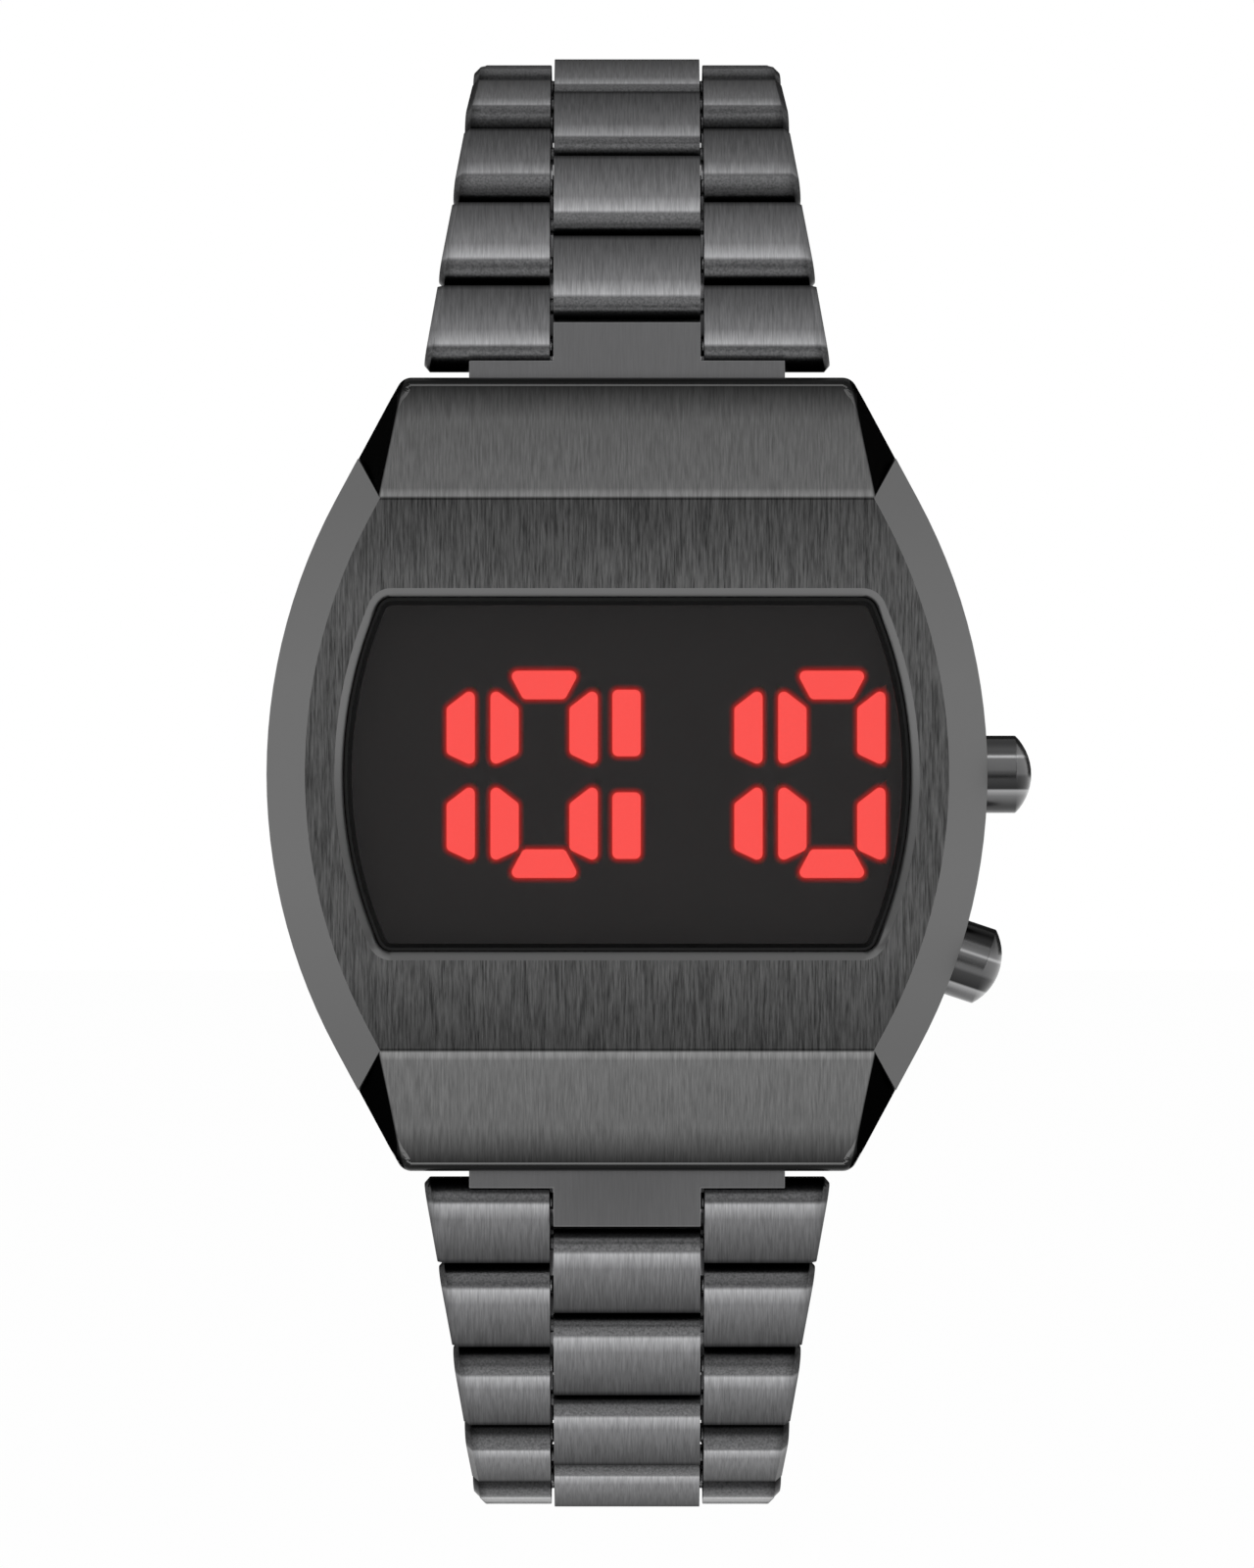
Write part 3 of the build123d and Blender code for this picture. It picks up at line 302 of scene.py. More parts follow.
# Zones in mm of the case; tones multiply the plating colour. The height tones, the rolled end, the satin
# fall, the edge tone and the corner tone are painted shade and highlights.
zonedLook = dict(
    caseLook, name="facetedCaseSteel", lineSpacing=0.09 * mm, lineLength=1.4 * mm, lineContrast=0.55,
    slopeContrast=0.25, satinRoughness=0.3, satinTone=1.07, satinFarPaintedShade=0.85, satinFade=5 * mm, paintedEdgeTone=1.6,
    ringTone=1.15, ringFacing=0.838, ringMargin=0.03, rolledStart=19.4 * mm, rolledEnd=20.3 * mm,
    rolledEndPaintedShade=0.08, cornerPaintedDarkTone=0.1, cornerPaintedDimTint=0.05, cornerLean=0.2, cornerInner=15.87 * mm,
    cornerBlend=0.1 * mm, bevelLean=1.846, cornerOuter=-9.5 * mm, bevelBlend=0.15 * mm, straightBelow=0.05,
    shallowAbove=0.7, slantAbove=0.3, foldHeight=14.48 * mm, halfHeight=21 * mm,
    paintedShadeAndHighlightTones=((0.0, 0.9), (9.8, 1.02), (12.0, 0.84), (14.38, 0.64), (14.42, 0.15), (14.5, 0.15),
                 (14.56, 1.75), (14.8, 1.6), (15.0, 1.12), (18.6, 0.98), (19.9, 0.45), (20.7, 0.1)))
endLook = dict(caseLook, name="satinEndLinkSteel", colour="#7d7d7e", lineContrast=0.06, reliefStrength=0.1)
backLook = dict(caseLook, name="satinBackSteel", colour="#858585", lineContrast=0.08, lineSpacing=0.2 * mm)
bladeLook = dict(linkLook, name="satinBladeSteel", colour="#8a8a8b", lineContrast=0.08, roughness=0.3)
stripLook = dict(bladeLook, name="stampedSpringStrip", colour="#a3a29e", roughness=0.25)
# Turned or polished pieces: no brush lines to speak of, a sharp reflection
buttonLook = dict(caseLook, name="polishedGreySteel", colour="#707071", lineContrast=0.03, roughness=0.12,
                  roughnessSpread=0.03, reliefStrength=0.05)
stemLook = dict(buttonLook, name="polishedStemSteel", colour="#c9c9ca", roughness=0.2, cloudSize=1.2 * mm,
                streaks=((0.0, 0.02), (0.1, 0.1), (0.22, 0.3), (0.29, 0.62), (0.315, 0.05), (0.47, 0.1),
                         (0.51, 0.22), (0.7, 0.27), (0.73, 0.8), (0.76, 0.3), (0.88, 0.12), (1.0, 0.01)))
pinLook = dict(buttonLook, name="turnedSteel", colour="#9a9a9a", roughness=0.2)
cellLook = dict(buttonLook, name="nickelPlatedCan", colour="#c4c3bf", roughness=0.16)
goldLook = dict(buttonLook, name="giltContactStrip", colour="#c9a351", roughness=0.22)


# A bracelet link: a blasted, grainy nose at its near end, painted dark as painted shade, a bright painted
# highlight line where the brushed back begins, and painted shade that falls off towards the next link to a
# dark line under it. It is measured along the row from its hinge.
def bandedLinkSteel(look, rowName, hinge, along, halfWidth):
    material = newMaterial(look["name"] + rowName)
    place = addNode(material, "TexCoord")
    run = addNode(material, "VectorMath", {"operation": "DOT_PRODUCT", 1: (0, along[0], along[1])},
                  {0: place.outputs["Object"]})
    parts = addNode(material, "SeparateXYZ", {}, {0: place.outputs["Object"]})
    side = addNode(material, "Math", {"operation": "ABSOLUTE"}, {0: parts.outputs["X"]})
    centre = addNode(material, "Math", {"operation": "LESS_THAN", 1: look["laneHalf"]}, {0: side.outputs[0]})
    start = addNode(material, "MapRange", {
        "To Min": hinge[0] * along[0] + hinge[1] * along[1] - look["noseReach"],
        "To Max": hinge[0] * along[0] + hinge[1] * along[1] + look["centreStart"]},
        {"Value": centre.outputs[0]})
    offset = addNode(material, "Math", {"operation": "SUBTRACT"},
                     {0: run.outputs["Value"], 1: start.outputs["Result"]})
    share = addNode(material, "Math", {"operation": "DIVIDE", 1: look["linkLength"]}, {0: offset.outputs[0]})
    ramp = addNode(material, "ValToRGB", {}, {"Fac": share.outputs[0]})
    # Painted shade and highlights along the link, from nose to far end
    setStops(ramp, look["bands"])
    nose = addNode(material, "MapRange", {"From Min": look["noseShare"],
                                          "From Max": look["noseShare"] - look["noseBlend"]},
                   {"Value": share.outputs[0]})
    lines = brushLines(material, look, place)
    grain = addNode(material, "TexNoise", {"Scale": 1 / look["grain"], "Detail": 2.0},
                    {"Vector": place.outputs["Object"]})
    surface = addNode(material, "Mix", mixedValue,
                      {0: nose.outputs["Result"], 2: lines.outputs["Fac"], 3: grain.outputs["Fac"]})
    swing = addNode(material, "MapRange", noiseSpan | {"To Min": -1.0, "To Max": 1.0},
                    {"Value": surface.outputs[0]})
    contrast = addNode(material, "MapRange", {"To Min": look["lineContrast"],
                                              "To Max": look["grainContrast"]},
                       {"Value": nose.outputs["Result"]})
    streak = addNode(material, "Math", {"operation": "MULTIPLY_ADD", 2: 1.0},
                     {0: swing.outputs["Result"], 1: contrast.outputs["Result"]})
    # Painted shade: towards the outer edges of the row, which round off, the colour turns dark
    edge = addNode(material, "MapRange", {"From Min": halfWidth - look["edgeShadeWidth"], "From Max": halfWidth,
                                          "To Min": 1.0, "To Max": look["paintedEdgeTone"],
                                          "interpolation_type": "SMOOTHSTEP"},
                   {"Value": side.outputs[0]})
    streak = addNode(material, "Math", {"operation": "MULTIPLY"},
                     {0: streak.outputs[0], 1: edge.outputs["Result"]})
    tone = addNode(material, "Math", {"operation": "MULTIPLY"},
                   {0: ramp.outputs["Color"], 1: streak.outputs[0]})
    shade = addNode(material, "Math", {"operation": "MULTIPLY", 1: look["brightest"]}, {0: tone.outputs[0]})
    colour = addNode(material, "Mix", multiplied | {6: linear(look["colour"])},
                     {7: shade.outputs[0]})
    depth = addNode(material, "MapRange", {"To Min": look["reliefStrength"],
                                           "To Max": look["grainStrength"]},
                    {"Value": nose.outputs["Result"]})
    relief = addNode(material, "Bump", {"Distance": look["relief"]},
                     {"Height": surface.outputs[0], "Strength": depth.outputs["Result"]})
    shader = addNode(material, "BsdfPrincipled", {"Metallic": 1.0, "Roughness": look["roughness"]},
                     {"Base Color": colour.outputs[2], "Normal": relief.outputs["Normal"]})
    addNode(material, "OutputMaterial", {}, {"Surface": shader.outputs["BSDF"]})
    return material


# Moulded plastic, rubber and board
# A fine matt moulding grain breaks the highlight up; rubber is duller and deeper in tone
def mouldedGrain(look):
    material = newMaterial(look["name"])
    place = addNode(material, "TexCoord")
    grain = addNode(material, "TexNoise", {"Scale": 1 / look["grain"], "Detail": 2.0},
                    {"Vector": place.outputs["Object"]})
    tone = addNode(material, "MapRange", noiseSpan | {"To Min": 1 - look["spread"],
                                                     "To Max": 1 + look["spread"]},
                   {"Value": grain.outputs["Fac"]})
    colour = addNode(material, "Mix", multiplied | {6: linear(look["colour"])},
                     {7: tone.outputs["Result"]})
    relief = addNode(material, "Bump", {"Strength": look["reliefStrength"], "Distance": look["relief"]},
                     {"Height": grain.outputs["Fac"]})
    shader = addNode(material, "BsdfPrincipled", {"Roughness": look["roughness"], "IOR": look["ior"]},
                     {"Base Color": colour.outputs[2], "Normal": relief.outputs["Normal"]})
    addNode(material, "OutputMaterial", {}, {"Surface": shader.outputs["BSDF"]})
    return material


rubberLook = {"name": "mouldedNitrileRubber", "colour": "#1a1a1a", "grain": 0.1 * mm, "relief": 0.01 * mm,
              "reliefStrength": 0.2, "spread": 0.1, "roughness": 0.7, "ior": 1.52}
# The panel is matt ink: next to no sheen
panelLook = {"name": "printedBlackPanel", "colour": "#444444", "grain": 0.2 * mm, "relief": 0.0002 * mm,
             "reliefStrength": 0.2, "spread": 0.03, "roughness": 0.8, "ior": 1.1}
boardLook = {"name": "glassFibreBoard", "colour": "#1d5a3a", "grain": 0.3 * mm, "relief": 0.01 * mm,
             "reliefStrength": 0.2, "spread": 0.1, "roughness": 0.4, "ior": 1.55}
chipLook = dict(panelLook, name="mouldedChipEpoxy", colour="#1c1c1e", roughness=0.55, ior=1.5,
                relief=0.004 * mm)
holderLook = dict(chipLook, name="mouldedAcetal", colour="#d6d4cb", roughness=0.4, ior=1.48)


# Crystal and lit figures
# Smoked mineral glass: dark, clear and sharply polished, with a blackened ground rim
def smokedGlass(look):
    material = newMaterial("smokedMineralGlass")
    place = addNode(material, "TexCoord")
    wave = addNode(material, "TexNoise", {"Scale": 1 / look["waveSize"], "Detail": 1.0},
                   {"Vector": place.outputs["Object"]})
    relief = addNode(material, "Bump", {"Strength": look["reliefStrength"], "Distance": look["relief"]},
                     {"Height": wave.outputs["Fac"]})
    facing = addNode(material, "NewGeometry")
    parts = addNode(material, "SeparateXYZ", {}, {0: facing.outputs["True Normal"]})
    straight = addNode(material, "Math", {"operation": "ABSOLUTE"}, {0: parts.outputs["Y"]})
    rim = addNode(material, "Math", {"operation": "LESS_THAN", 1: look["faceAbove"]},
                  {0: straight.outputs[0]})
    # The photograph shows no reflection in the glass, so its index is taken lower, as if it were coated
    glass = addNode(material, "BsdfPrincipled", {"Base Color": linear(look["colour"]), "IOR": look["ior"],
                                                 "Roughness": look["roughness"],
                                                 "Transmission Weight": 1.0},
                    {"Normal": relief.outputs["Normal"]})
    paint = addNode(material, "BsdfPrincipled", {"Base Color": linear(look["rimColour"]),
                                                 "Roughness": look["rimRoughness"]})
    mix = addNode(material, "MixShader", {},
                  {0: rim.outputs[0], 1: glass.outputs[0], 2: paint.outputs[0]})
    addNode(material, "OutputMaterial", {}, {"Surface": mix.outputs[0]})
    return material


# A polished stem. What its round back mirrors is drawn as streaks along it, from a dark lower edge over a
# bright line, a dark band, grey and a second bright line to the dark upper edge.
def streakedSteel(look, name, upward):
    material = newMaterial(look["name"] + name)
    low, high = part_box(name)
    middle = sum((low[i] + high[i]) / 2 * upward[i] for i in range(3))
    radius = (high[1] - low[1]) / 2
    place = addNode(material, "TexCoord")
    height = addNode(material, "VectorMath", {"operation": "DOT_PRODUCT", 1: upward},
                     {0: place.outputs["Object"]})
    share = addNode(material, "MapRange", {"From Min": middle - radius, "From Max": middle + radius},
                    {"Value": height.outputs["Value"]})
    ramp = addNode(material, "ValToRGB", {}, {"Fac": share.outputs["Result"]})
    setStops(ramp, look["streaks"])
    cloud = addNode(material, "TexNoise", {"Scale": 1 / look["cloudSize"], "Detail": 2.0},
                    {"Vector": place.outputs["Object"]})
    rough = addNode(material, "MapRange", noiseSpan | {"To Min": look["roughness"] - look["roughnessSpread"],
                                                      "To Max": look["roughness"] + look["roughnessSpread"]},
                    {"Value": cloud.outputs["Fac"]})
    colour = addNode(material, "Mix", multiplied | {6: linear(look["colour"])},
                     {7: ramp.outputs["Color"]})
    shader = addNode(material, "BsdfPrincipled", {"Metallic": 1.0},
                     {"Base Color": colour.outputs[2], "Roughness": rough.outputs["Result"]})
    addNode(material, "OutputMaterial", {}, {"Surface": shader.outputs["BSDF"]})
    return material


crystalLook = {"colour": "#d6d2d2", "ior": 1.3, "roughness": 0.01, "rimColour": "#060606",
               "rimRoughness": 0.6, "faceAbove": 0.97, "waveSize": 9 * mm, "relief": 0.002 * mm,
               "reliefStrength": 0.05}


# Cast red diffusers, evenly lit from behind
def litFigure(look):
    material = newMaterial("litRedDiffuser")
    place = addNode(material, "TexCoord")
    speck = addNode(material, "TexNoise", {"Scale": 1 / look["speck"], "Detail": 2.0},
                    {"Vector": place.outputs["Object"]})
    glow = addNode(material, "MapRange", noiseSpan | {"To Min": (1 - look["unevenness"]) * look["glow"],
                                                     "To Max": (1 + look["unevenness"]) * look["glow"]},
                   {"Value": speck.outputs["Fac"]})
    shader = addNode(material, "BsdfPrincipled", {"Base Color": linear(look["body"]),
                                                  "Roughness": look["roughness"],
                                                  "Emission Color": linear(look["colour"])},
                     {"Emission Strength": glow.outputs["Result"]})
    addNode(material, "OutputMaterial", {}, {"Surface": shader.outputs["BSDF"]})
    return material


# A soft red glow on the panel round each figure: full at the figure's edge, gone at the end of its reach
def redGlow(look):
    material = newMaterial("redGlowOnPanel")
    near = addNode(material, "Attribute", {"attribute_name": "glow"})
    place = addNode(material, "TexCoord")
    speck = addNode(material, "TexNoise", {"Scale": 1 / look["speck"], "Detail": 2.0},
                    {"Vector": place.outputs["Object"]})
    level = addNode(material, "MapRange", noiseSpan | {
        "To Min": (1 - look["haloUnevenness"]) * look["haloGlow"],
        "To Max": (1 + look["haloUnevenness"]) * look["haloGlow"]},
        {"Value": speck.outputs["Fac"]})
    falloff = addNode(material, "Math", {"operation": "POWER", 1: look["haloFalloff"]},
                      {0: near.outputs["Fac"]})
    clear = addNode(material, "BsdfTransparent")
    glow = addNode(material, "Emission", {"Color": linear(look["haloColour"])},
                   {"Strength": level.outputs["Result"]})
    mix = addNode(material, "MixShader", {},
                  {0: falloff.outputs[0], 1: clear.outputs[0], 2: glow.outputs[0]})
    addNode(material, "OutputMaterial", {}, {"Surface": mix.outputs[0]})
    return material


figureLook = {"body": "#401010", "roughness": 0.5, "colour": "#fe4f4a", "speck": 0.15 * mm, "glow": 1.45,
              "unevenness": 0.03, "haloColour": "#c41a14", "haloGlow": 1.25, "haloUnevenness": 0.05,
              "haloFalloff": 1.6}

caseSteel = zonedCaseSteel(zonedLook)
endLinkSteel = brushedSteel(endLook)
claspSteel = brushedSteel(claspLook)
backSteel = brushedSteel(backLook)
bladeSteel = brushedSteel(bladeLook)
stripSteel = brushedSteel(stripLook)
pinSteel = brushedSteel(pinLook)
cellCan = brushedSteel(cellLook)
giltStrip = brushedSteel(goldLook)
rubber = mouldedGrain(rubberLook)
panelBlack = mouldedGrain(panelLook)
boardGreen = mouldedGrain(boardLook)
chipBlack = mouldedGrain(chipLook)
holderPlastic = mouldedGrain(holderLook)
crystalGlass = smokedGlass(crystalLook)
litRed = litFigure(figureLook)
haloRed = redGlow(figureLook)
print("materials made")

# Finishes by piece
# Direction of each row at rest, in degrees from the run of the case, twelve rows to each half
rowAngles = {
    "upper": (11, 21, 39, 62, 85, 103, 118, 130, 140, 149, 157, 163),
    "lower": (10, 16, 34, 56, 82, 103, 119, 131, 141, 149, 155, 160),
}
# Depth and height of the first hinge, and the distance from one hinge to the next
firstHinge = (-3 * mm, 22.6 * mm)
rowPitch = 4.5 * mm
rows = [f"{half}_row_{i + 1}" for half in ("upper", "lower") for i in range(12)]
dress(["case_body"], caseSteel)
dress(["upper_end_link", "lower_end_link"], endLinkSteel)
for half, side in (("upper", 1), ("lower", -1)):
    hinge = (firstHinge[0], side * firstHinge[1])
    for index, degrees in enumerate(rowAngles[half]):
        along = (math.sin(math.radians(degrees)), side * math.cos(math.radians(degrees)))
        rowName = f"{half}_row_{index + 1}"
        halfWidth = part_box(rowName)[1][0]
        dress([rowName], bandedLinkSteel(bandedLook, rowName, hinge, along, halfWidth))
        hinge = (hinge[0] + rowPitch * along[0], hinge[1] + rowPitch * along[1])
dress(["clasp_cover"], claspSteel)
dress(["case_back"], backSteel)
dress(["outer_blade", "inner_blade"], bladeSteel)
dress(["battery_strap", "upper_button_clip", "lower_button_clip"], stripSteel)
# The lower button stands square to the side arc, so its upward line leans
buttonLeans = {"upper": 0.0, "lower": math.radians(18.5)}
for half, lean in buttonLeans.items():
    upward = (math.sin(lean), 0, math.cos(lean))
    dress([half + "_button"], streakedSteel(stemLook, half + "_button", upward))
dress(["case_bars", "cover_bar", "cover_hinge_pin", "fold_pin", "fork_bar", "button_tubes"], pinSteel)
dress(["back_screws"], pinSteel)
dress(["battery"], cellCan)
dress(["switch_contacts"], giltStrip)
dress(["crystal_gasket", "back_gasket", "upper_button_seal", "lower_button_seal"], rubber)
dress(["display_panel"], panelBlack)
dress(["display_board", "circuit_board"], boardGreen)
dress(["drive_chips"], chipBlack)
dress(["module_holder"], holderPlastic)
dress(["crystal"], crystalGlass)
softenEdges(["case_body"], 0.1 * mm, 12)
softenEdges(rows, 0.08 * mm)
softenEdges(["upper_end_link", "lower_end_link", "clasp_cover"], 0.07 * mm)
softenEdges(["case_back"], 0.06 * mm)
softenEdges(["upper_button", "lower_button"], 0.05 * mm, 30)
print("pieces dressed")

# Lit figures
# Seven bar figures 1 0 : 1 0 with rounded corners, in mm across and up from the middle of the dial. The
# halo steps are shares of its reach with the level of the glow there.
figures = {
    "pitch": 15.15, "oneLeft": -9.5, "zeroLeft": -7.19, "zeroWidth": 5.65,
    "barWidth": 1.49, "barHeight": 4.27, "barLow": 0.39, "topSlant": 1.15, "footSlant": 0.7,
    "crossWidth": 3.8, "crossInner": 2.2, "crossHeight": 1.5, "crossLow": 3.95,
    "colonLeft": -0.77, "colonHeight": 3.5, "colonLow": 0.95, "cornerRadius": 0.3,
    "haloReach": 0.34, "haloLift": 0.015, "haloSteps": ((0, 1.0), (0.35, 0.5), (1, 0.0)),
}


# Outlines of all bars, each anticlockwise seen from the front
def figureOutlines(size):
    tall = [(0, size["footSlant"]), (0, size["barHeight"] - size["topSlant"]), (1, size["barHeight"]),
            (1, 0)]
    outlines = []
    for shift in (0, size["pitch"]):
        uprights = [(size["oneLeft"] + shift, False), (size["zeroLeft"] + shift, True),
                    (size["zeroLeft"] + shift + size["zeroWidth"] - size["barWidth"], False)]
        for left, longLeft in uprights:
            for low in (size["barLow"], -size["barLow"] - size["barHeight"]):
                points = []
                for across, up in tall:
                    across = 1 - across if longLeft else across
                    points.append((left + across * size["barWidth"], low + up))
                outlines.append(points if longLeft else points[::-1])
        middle = size["zeroLeft"] + shift + size["zeroWidth"] / 2
        for sign in (1, -1):
            low, high = sign * size["crossLow"], sign * (size["crossLow"] + size["crossHeight"])
            points = [(middle - size["crossInner"] / 2, low), (middle + size["crossInner"] / 2, low),
                      (middle + size["crossWidth"] / 2, high), (middle - size["crossWidth"] / 2, high)]
            outlines.append(points if sign == 1 else points[::-1])
    for low in (size["colonLow"], -size["colonLow"] - size["colonHeight"]):
        left, high = size["colonLeft"], low + size["colonHeight"]
        right = left + size["barWidth"]
        outlines.append([(left, low), (right, low), (right, high), (left, high)])
    return outlines


# The outline with its corners turned on arcs, and grown outwards by the given amount
def roundedOutline(points, radius, grow, steps=5):
    result = []
    count = len(points)
    for index in range(count):
        before, here, after = points[index - 1], points[index], points[(index + 1) % count]
        inward = math.atan2(here[1] - before[1], here[0] - before[0])
        outward = math.atan2(after[1] - here[1], after[0] - here[0])
        bend = (outward - inward + math.pi) % (2 * math.pi) - math.pi
        reach = radius / math.cos(bend / 2)
        aim = inward + bend / 2 + math.pi / 2
        middle = (here[0] + reach * math.cos(aim), here[1] + reach * math.sin(aim))
        for step in range(steps + 1):
            turn = inward - math.pi / 2 + bend * step / steps
            result.append((middle[0] + (radius + grow) * math.cos(turn),
                           middle[1] + (radius + grow) * math.sin(turn)))
    return result


def addLitFigures(size):
    front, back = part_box("led_segments")[0][1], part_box("led_segments")[1][1]
    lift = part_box("display_panel")[0][1] - size["haloLift"] * mm
    corners, faces = [], []
    haloCorners, haloFaces, glow = [], [], []
    for points in figureOutlines(size):
        ring = roundedOutline(points, size["cornerRadius"], 0)
        first, count = len(corners), len(ring)
        for depth in (front, back):
            corners += [(x * mm, depth, z * mm) for x, z in ring]
        faces.append([first + i for i in range(count)])
        faces.append([first + count + i for i in reversed(range(count))])
        for i in range(count):
            j = (i + 1) % count
            faces.append([first + j, first + i, first + count + i, first + count + j])
        start = len(haloCorners)
        for share, level in size["haloSteps"]:
            edge = roundedOutline(points, size["cornerRadius"], share * size["haloReach"])
            haloCorners += [(x * mm, lift, z * mm) for x, z in edge]
            glow += [level] * count
        for band in range(len(size["haloSteps"]) - 1):
            for i in range(count):
                j = (i + 1) % count
                low, high = start + band * count, start + (band + 1) * count
                haloFaces.append([low + i, high + i, high + j, low + j])
    lit = addPiece("litFigures", corners, faces, litRed)
    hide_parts("led_segments")
    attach(lit, "case")
    halo = addPiece("figureHalo", haloCorners, haloFaces, haloRed)
    halo.data.attributes.new("glow", "FLOAT", "POINT").data.foreach_set("value", glow)
    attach(halo, "case")


addLitFigures(figures)
print("figures lit")

# Return springs
# A round wire on a coil between the case and the cap
def addReturnSpring(name, button, lean, size):
    low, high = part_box("upper_button_spring")
    coil = (high[1] - low[1]) / 2 - size["wire"]
    first, last = low[0] + size["wire"], high[0] - size["wire"]
    middle = ((low[1] + high[1]) / 2, (low[2] + high[2]) / 2)
    centre = size["swingCentre"]
    along = Vector((math.cos(lean), 0, -math.sin(lean)))
    upward = Vector((math.sin(lean), 0, math.cos(lean)))
    depth = Vector((0, 1, 0))
    origin = Vector((centre, middle[0], 0))
    corners, faces = [], []
    steps, sides = size["turns"] * size["stepsPerTurn"], size["sides"]
    for step in range(steps + 1):
        turn = 2 * math.pi * step / size["stepsPerTurn"]
        outward = depth * math.cos(turn) + upward * math.sin(turn)
        spot = origin + along * (first - centre + (last - first) * step / steps) + outward * coil
        for side in range(sides):
            lap = 2 * math.pi * side / sides
            corners.append(spot + (outward * math.cos(lap) + along * math.sin(lap)) * size["wire"])
    for step in range(steps):
        for side in range(sides):
            here, beside = step * sides + side, step * sides + (side + 1) % sides
            faces.append([here, here + sides, beside + sides, beside])
    faces.append(list(range(sides)))
    faces.append([steps * sides + i for i in reversed(range(sides))])
    spring = addPiece(name, corners, faces, pinSteel)
    spring.data.shade_smooth()
    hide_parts(button + "_spring")
    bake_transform(spring)


springSize = {"wire": 0.12 * mm, "turns": 4, "stepsPerTurn": 24, "sides": 8, "swingCentre": -11.5 * mm}
for half, lean in buttonLeans.items():
    addReturnSpring(half + "ReturnSpring", half + "_button", lean, springSize)
print("springs wound")

# Floor, light and camera
studio = {
    "floorGap": 42 * mm, "floorSize": 4.0, "floorGlow": 0.97, "white": "#ffffff", "worldLevel": 0.62,
    "roomLevel": 0.05, "cardDistance": 0.45, "sideCardDistance": 0.54, "cardWidth": 0.9, "cardStep": 5,
    "cameraDistance": 550 * mm, "fieldHeight": 82.2 * mm, "aimDrop": 0.51 * mm, "plateDepth": 9 * mm,
    "sensorWidth": 36, "nearest": 0.01, "farthest": 20,
}


# White to the camera, a dim room in the reflections, and an even light on matt pieces
def paleBackground():
    world = bpy.data.worlds.new("paleRoom")
    scene.world = world
    world.use_nodes = True
    world.node_tree.nodes.clear()
    path = addNode(world, "LightPath")
    room = addNode(world, "MapRange", {"To Min": studio["worldLevel"], "To Max": studio["roomLevel"]},
                   {"Value": path.outputs["Is Glossy Ray"]})
    level = addNode(world, "MapRange", {"To Max": 1.0},
                    {"Value": path.outputs["Is Camera Ray"], "To Min": room.outputs["Result"]})
    background = addNode(world, "Background", {"Color": linear(studio["white"])},
                         {"Strength": level.outputs["Result"]})
    addNode(world, "OutputWorld", {}, {"Surface": background.outputs["Background"]})


# The floor lies below the lower half of the bracelet when it hangs straight
def paleFloor():
    material = newMaterial("matWhitePaint")
    path = addNode(material, "LightPath")
    seen = addNode(material, "Math", {"operation": "MAXIMUM"},
                   {0: path.outputs["Is Camera Ray"], 1: path.outputs["Is Glossy Ray"]})
    seenAll = addNode(material, "Math", {"operation": "MAXIMUM"},
                      {0: seen.outputs[0], 1: path.outputs["Is Transmission Ray"]})
    share = addNode(material, "Math", {"operation": "MULTIPLY", 1: studio["floorGlow"]},
                    {0: seenAll.outputs[0]})
    paint = addNode(material, "BsdfDiffuse", {"Color": linear(studio["white"])})
    glow = addNode(material, "Emission", {"Color": linear(studio["white"]), "Strength": 1.0})
    mix = addNode(material, "MixShader", {},
                  {0: share.outputs[0], 1: paint.outputs[0], 2: glow.outputs[0]})
    addNode(material, "OutputMaterial", {}, {"Surface": mix.outputs[0]})
    size, height = studio["floorSize"], cadBox[0][2] - studio["floorGap"]
    corners = [(-size, -size, height), (size, -size, height), (size, size, height), (-size, size, height)]
    floor = addPiece("floor", corners, [(0, 1, 2, 3)], material)


# Cards that only reflections see, as arcs round the watch: which way they run, from and to how many degrees
# up or sideways from straight in front, and how bright. The flat plate mirrors the grey front card and stays
# darker than the slopes and bevels.
arcCards = {
    "frontCard": ("height", -2, 9, 0.45), "flagCard": ("height", -44, -2, 0.2),
    "upperCard": ("height", 9, 52, 0.85), "upperStrip": ("height", 52, 57, 1.6),
    "upperFar": ("height", 57, 74, 0.4), "lowerStrip": ("height", -49, -44, 2.6),
    "lowerCard": ("height", -84, -49, 0.55),
    "upperRim": ("height", 74, 130, 0.6), "lowerRim": ("height", -130, -84, 0.4),
    "leftCard": ("side", -135, -80, 0.95), "rightCard": ("side", 80, 135, 0.95),
}


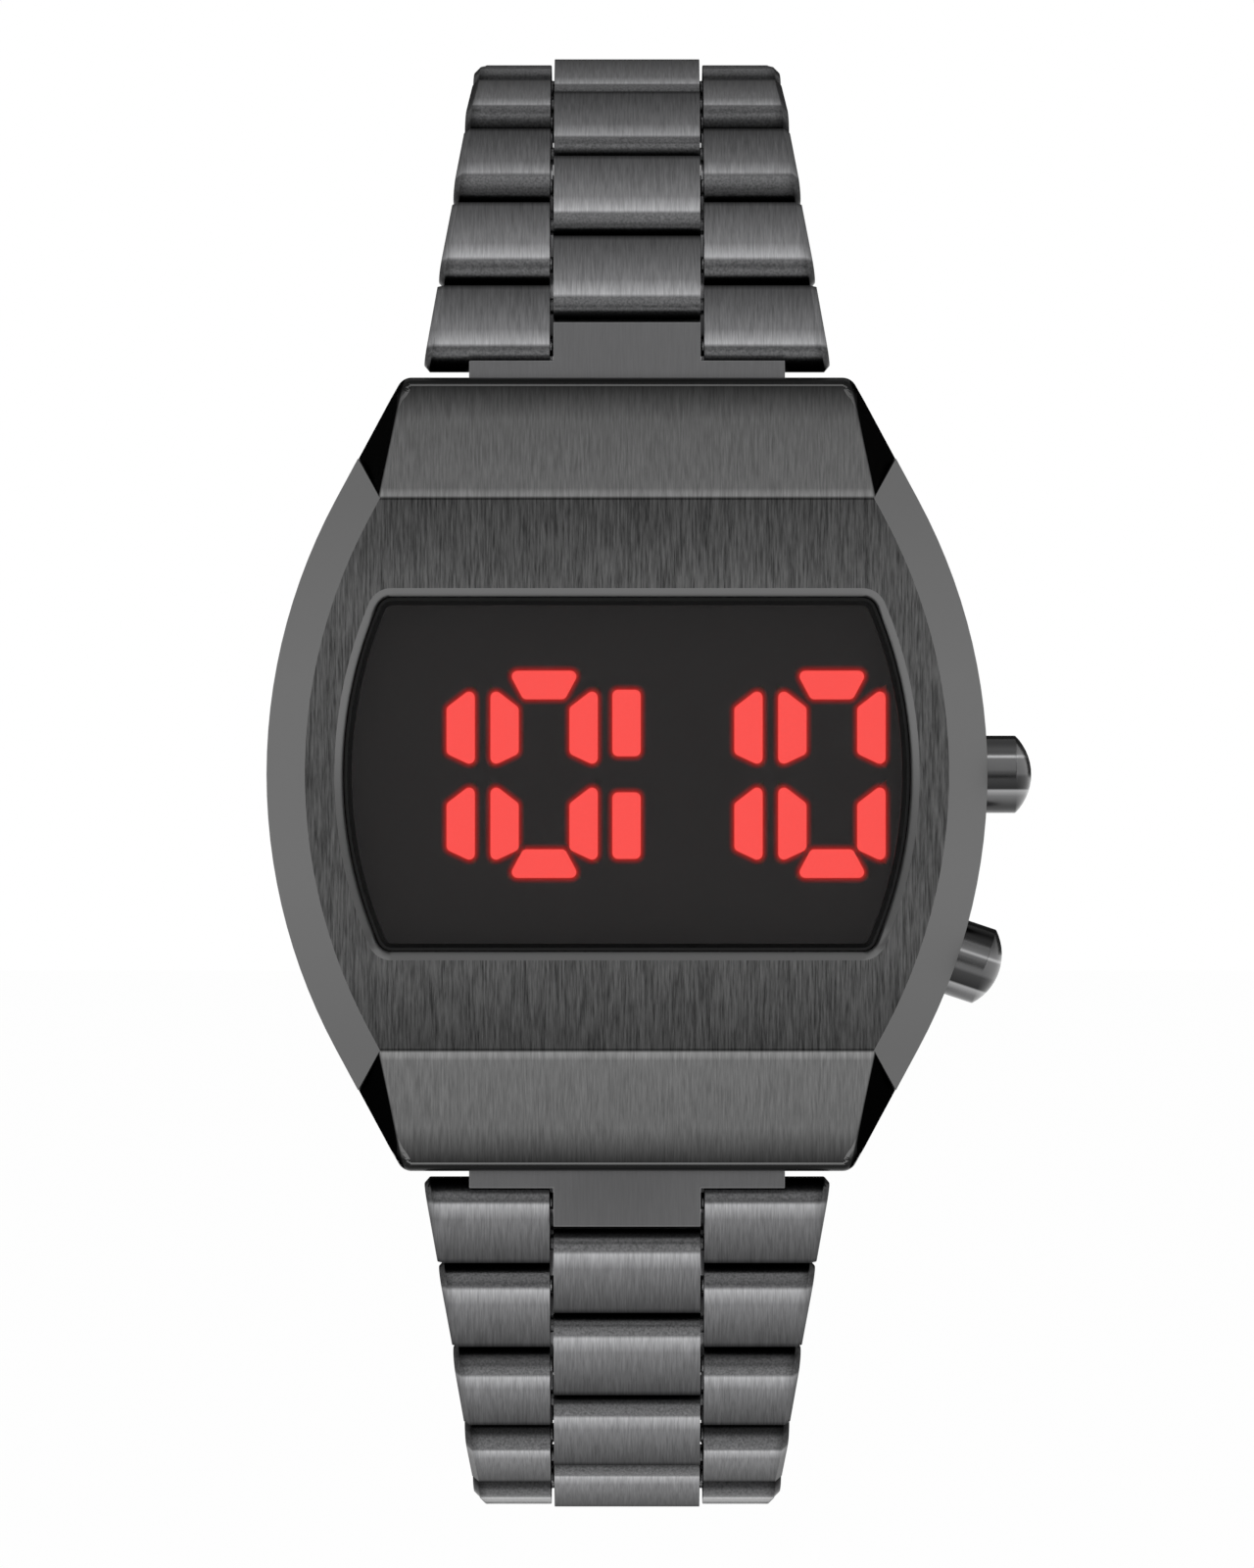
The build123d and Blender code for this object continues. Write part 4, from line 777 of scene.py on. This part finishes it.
def addArcCards():
    half = studio["cardWidth"] / 2
    for name, (kind, start, end, level) in arcCards.items():
        radius = studio["cardDistance"] if kind == "height" else studio["sideCardDistance"]
        corners, faces = [], []
        steps = max(2, round((end - start) / studio["cardStep"]))
        for step in range(steps + 1):
            turn = math.radians(start + (end - start) * step / steps)
            near, across = -radius * math.cos(turn), radius * math.sin(turn)
            if kind == "height":
                corners += [(-half, near, across), (half, near, across)]
            else:
                corners += [(across, near, -half), (across, near, half)]
            if step:
                faces.append((2 * step - 2, 2 * step - 1, 2 * step + 1, 2 * step))
        material = newMaterial(name)
        glow = addNode(material, "Emission", {"Color": linear(studio["white"]), "Strength": level})
        addNode(material, "OutputMaterial", {}, {"Surface": glow.outputs[0]})
        card = addPiece(name, corners, faces, material)
        card.visible_camera = False
        card.visible_diffuse = False
        card.visible_shadow = False


# Soft boxes: place, aim point, width, height and power in watts
softBoxes = {
    "topBox": ((0, -0.25, 0.55), (0, 0, 0), 0.5, 0.35, 0.6),
    "leftBox": ((-0.55, -0.1, 0.1), (0, 0, 0), 0.3, 0.5, 0.5),
    "rightBox": ((0.55, -0.1, 0.1), (0, 0, 0), 0.3, 0.5, 0.5),
}


def addSoftBoxes():
    for name, (place, aim, width, height, power) in softBoxes.items():
        lamp = bpy.data.lights.new(name, "AREA")
        lamp.shape = "RECTANGLE"
        lamp.size = width
        lamp.size_y = height
        lamp.energy = power
        holder = bpy.data.objects.new(name, lamp)
        holder.location = place
        holder.rotation_euler = (Vector(aim) - Vector(place)).to_track_quat("-Z", "Y").to_euler()
        scene.collection.objects.link(holder)


def addCamera():
    lens = bpy.data.cameras.new("camera")
    lens.sensor_width = studio["sensorWidth"]
    lens.lens = lens.sensor_width * studio["cameraDistance"] / studio["fieldHeight"]
    lens.clip_start = studio["nearest"]
    lens.clip_end = studio["farthest"]
    camera = bpy.data.objects.new("camera", lens)
    camera.location = (0, -studio["plateDepth"] - studio["cameraDistance"], -studio["aimDrop"])
    camera.rotation_euler = (math.radians(90), 0, 0)
    scene.collection.objects.link(camera)
    scene.camera = camera


paleBackground()
paleFloor()
addArcCards()
addSoftBoxes()
addCamera()
print("studio set")
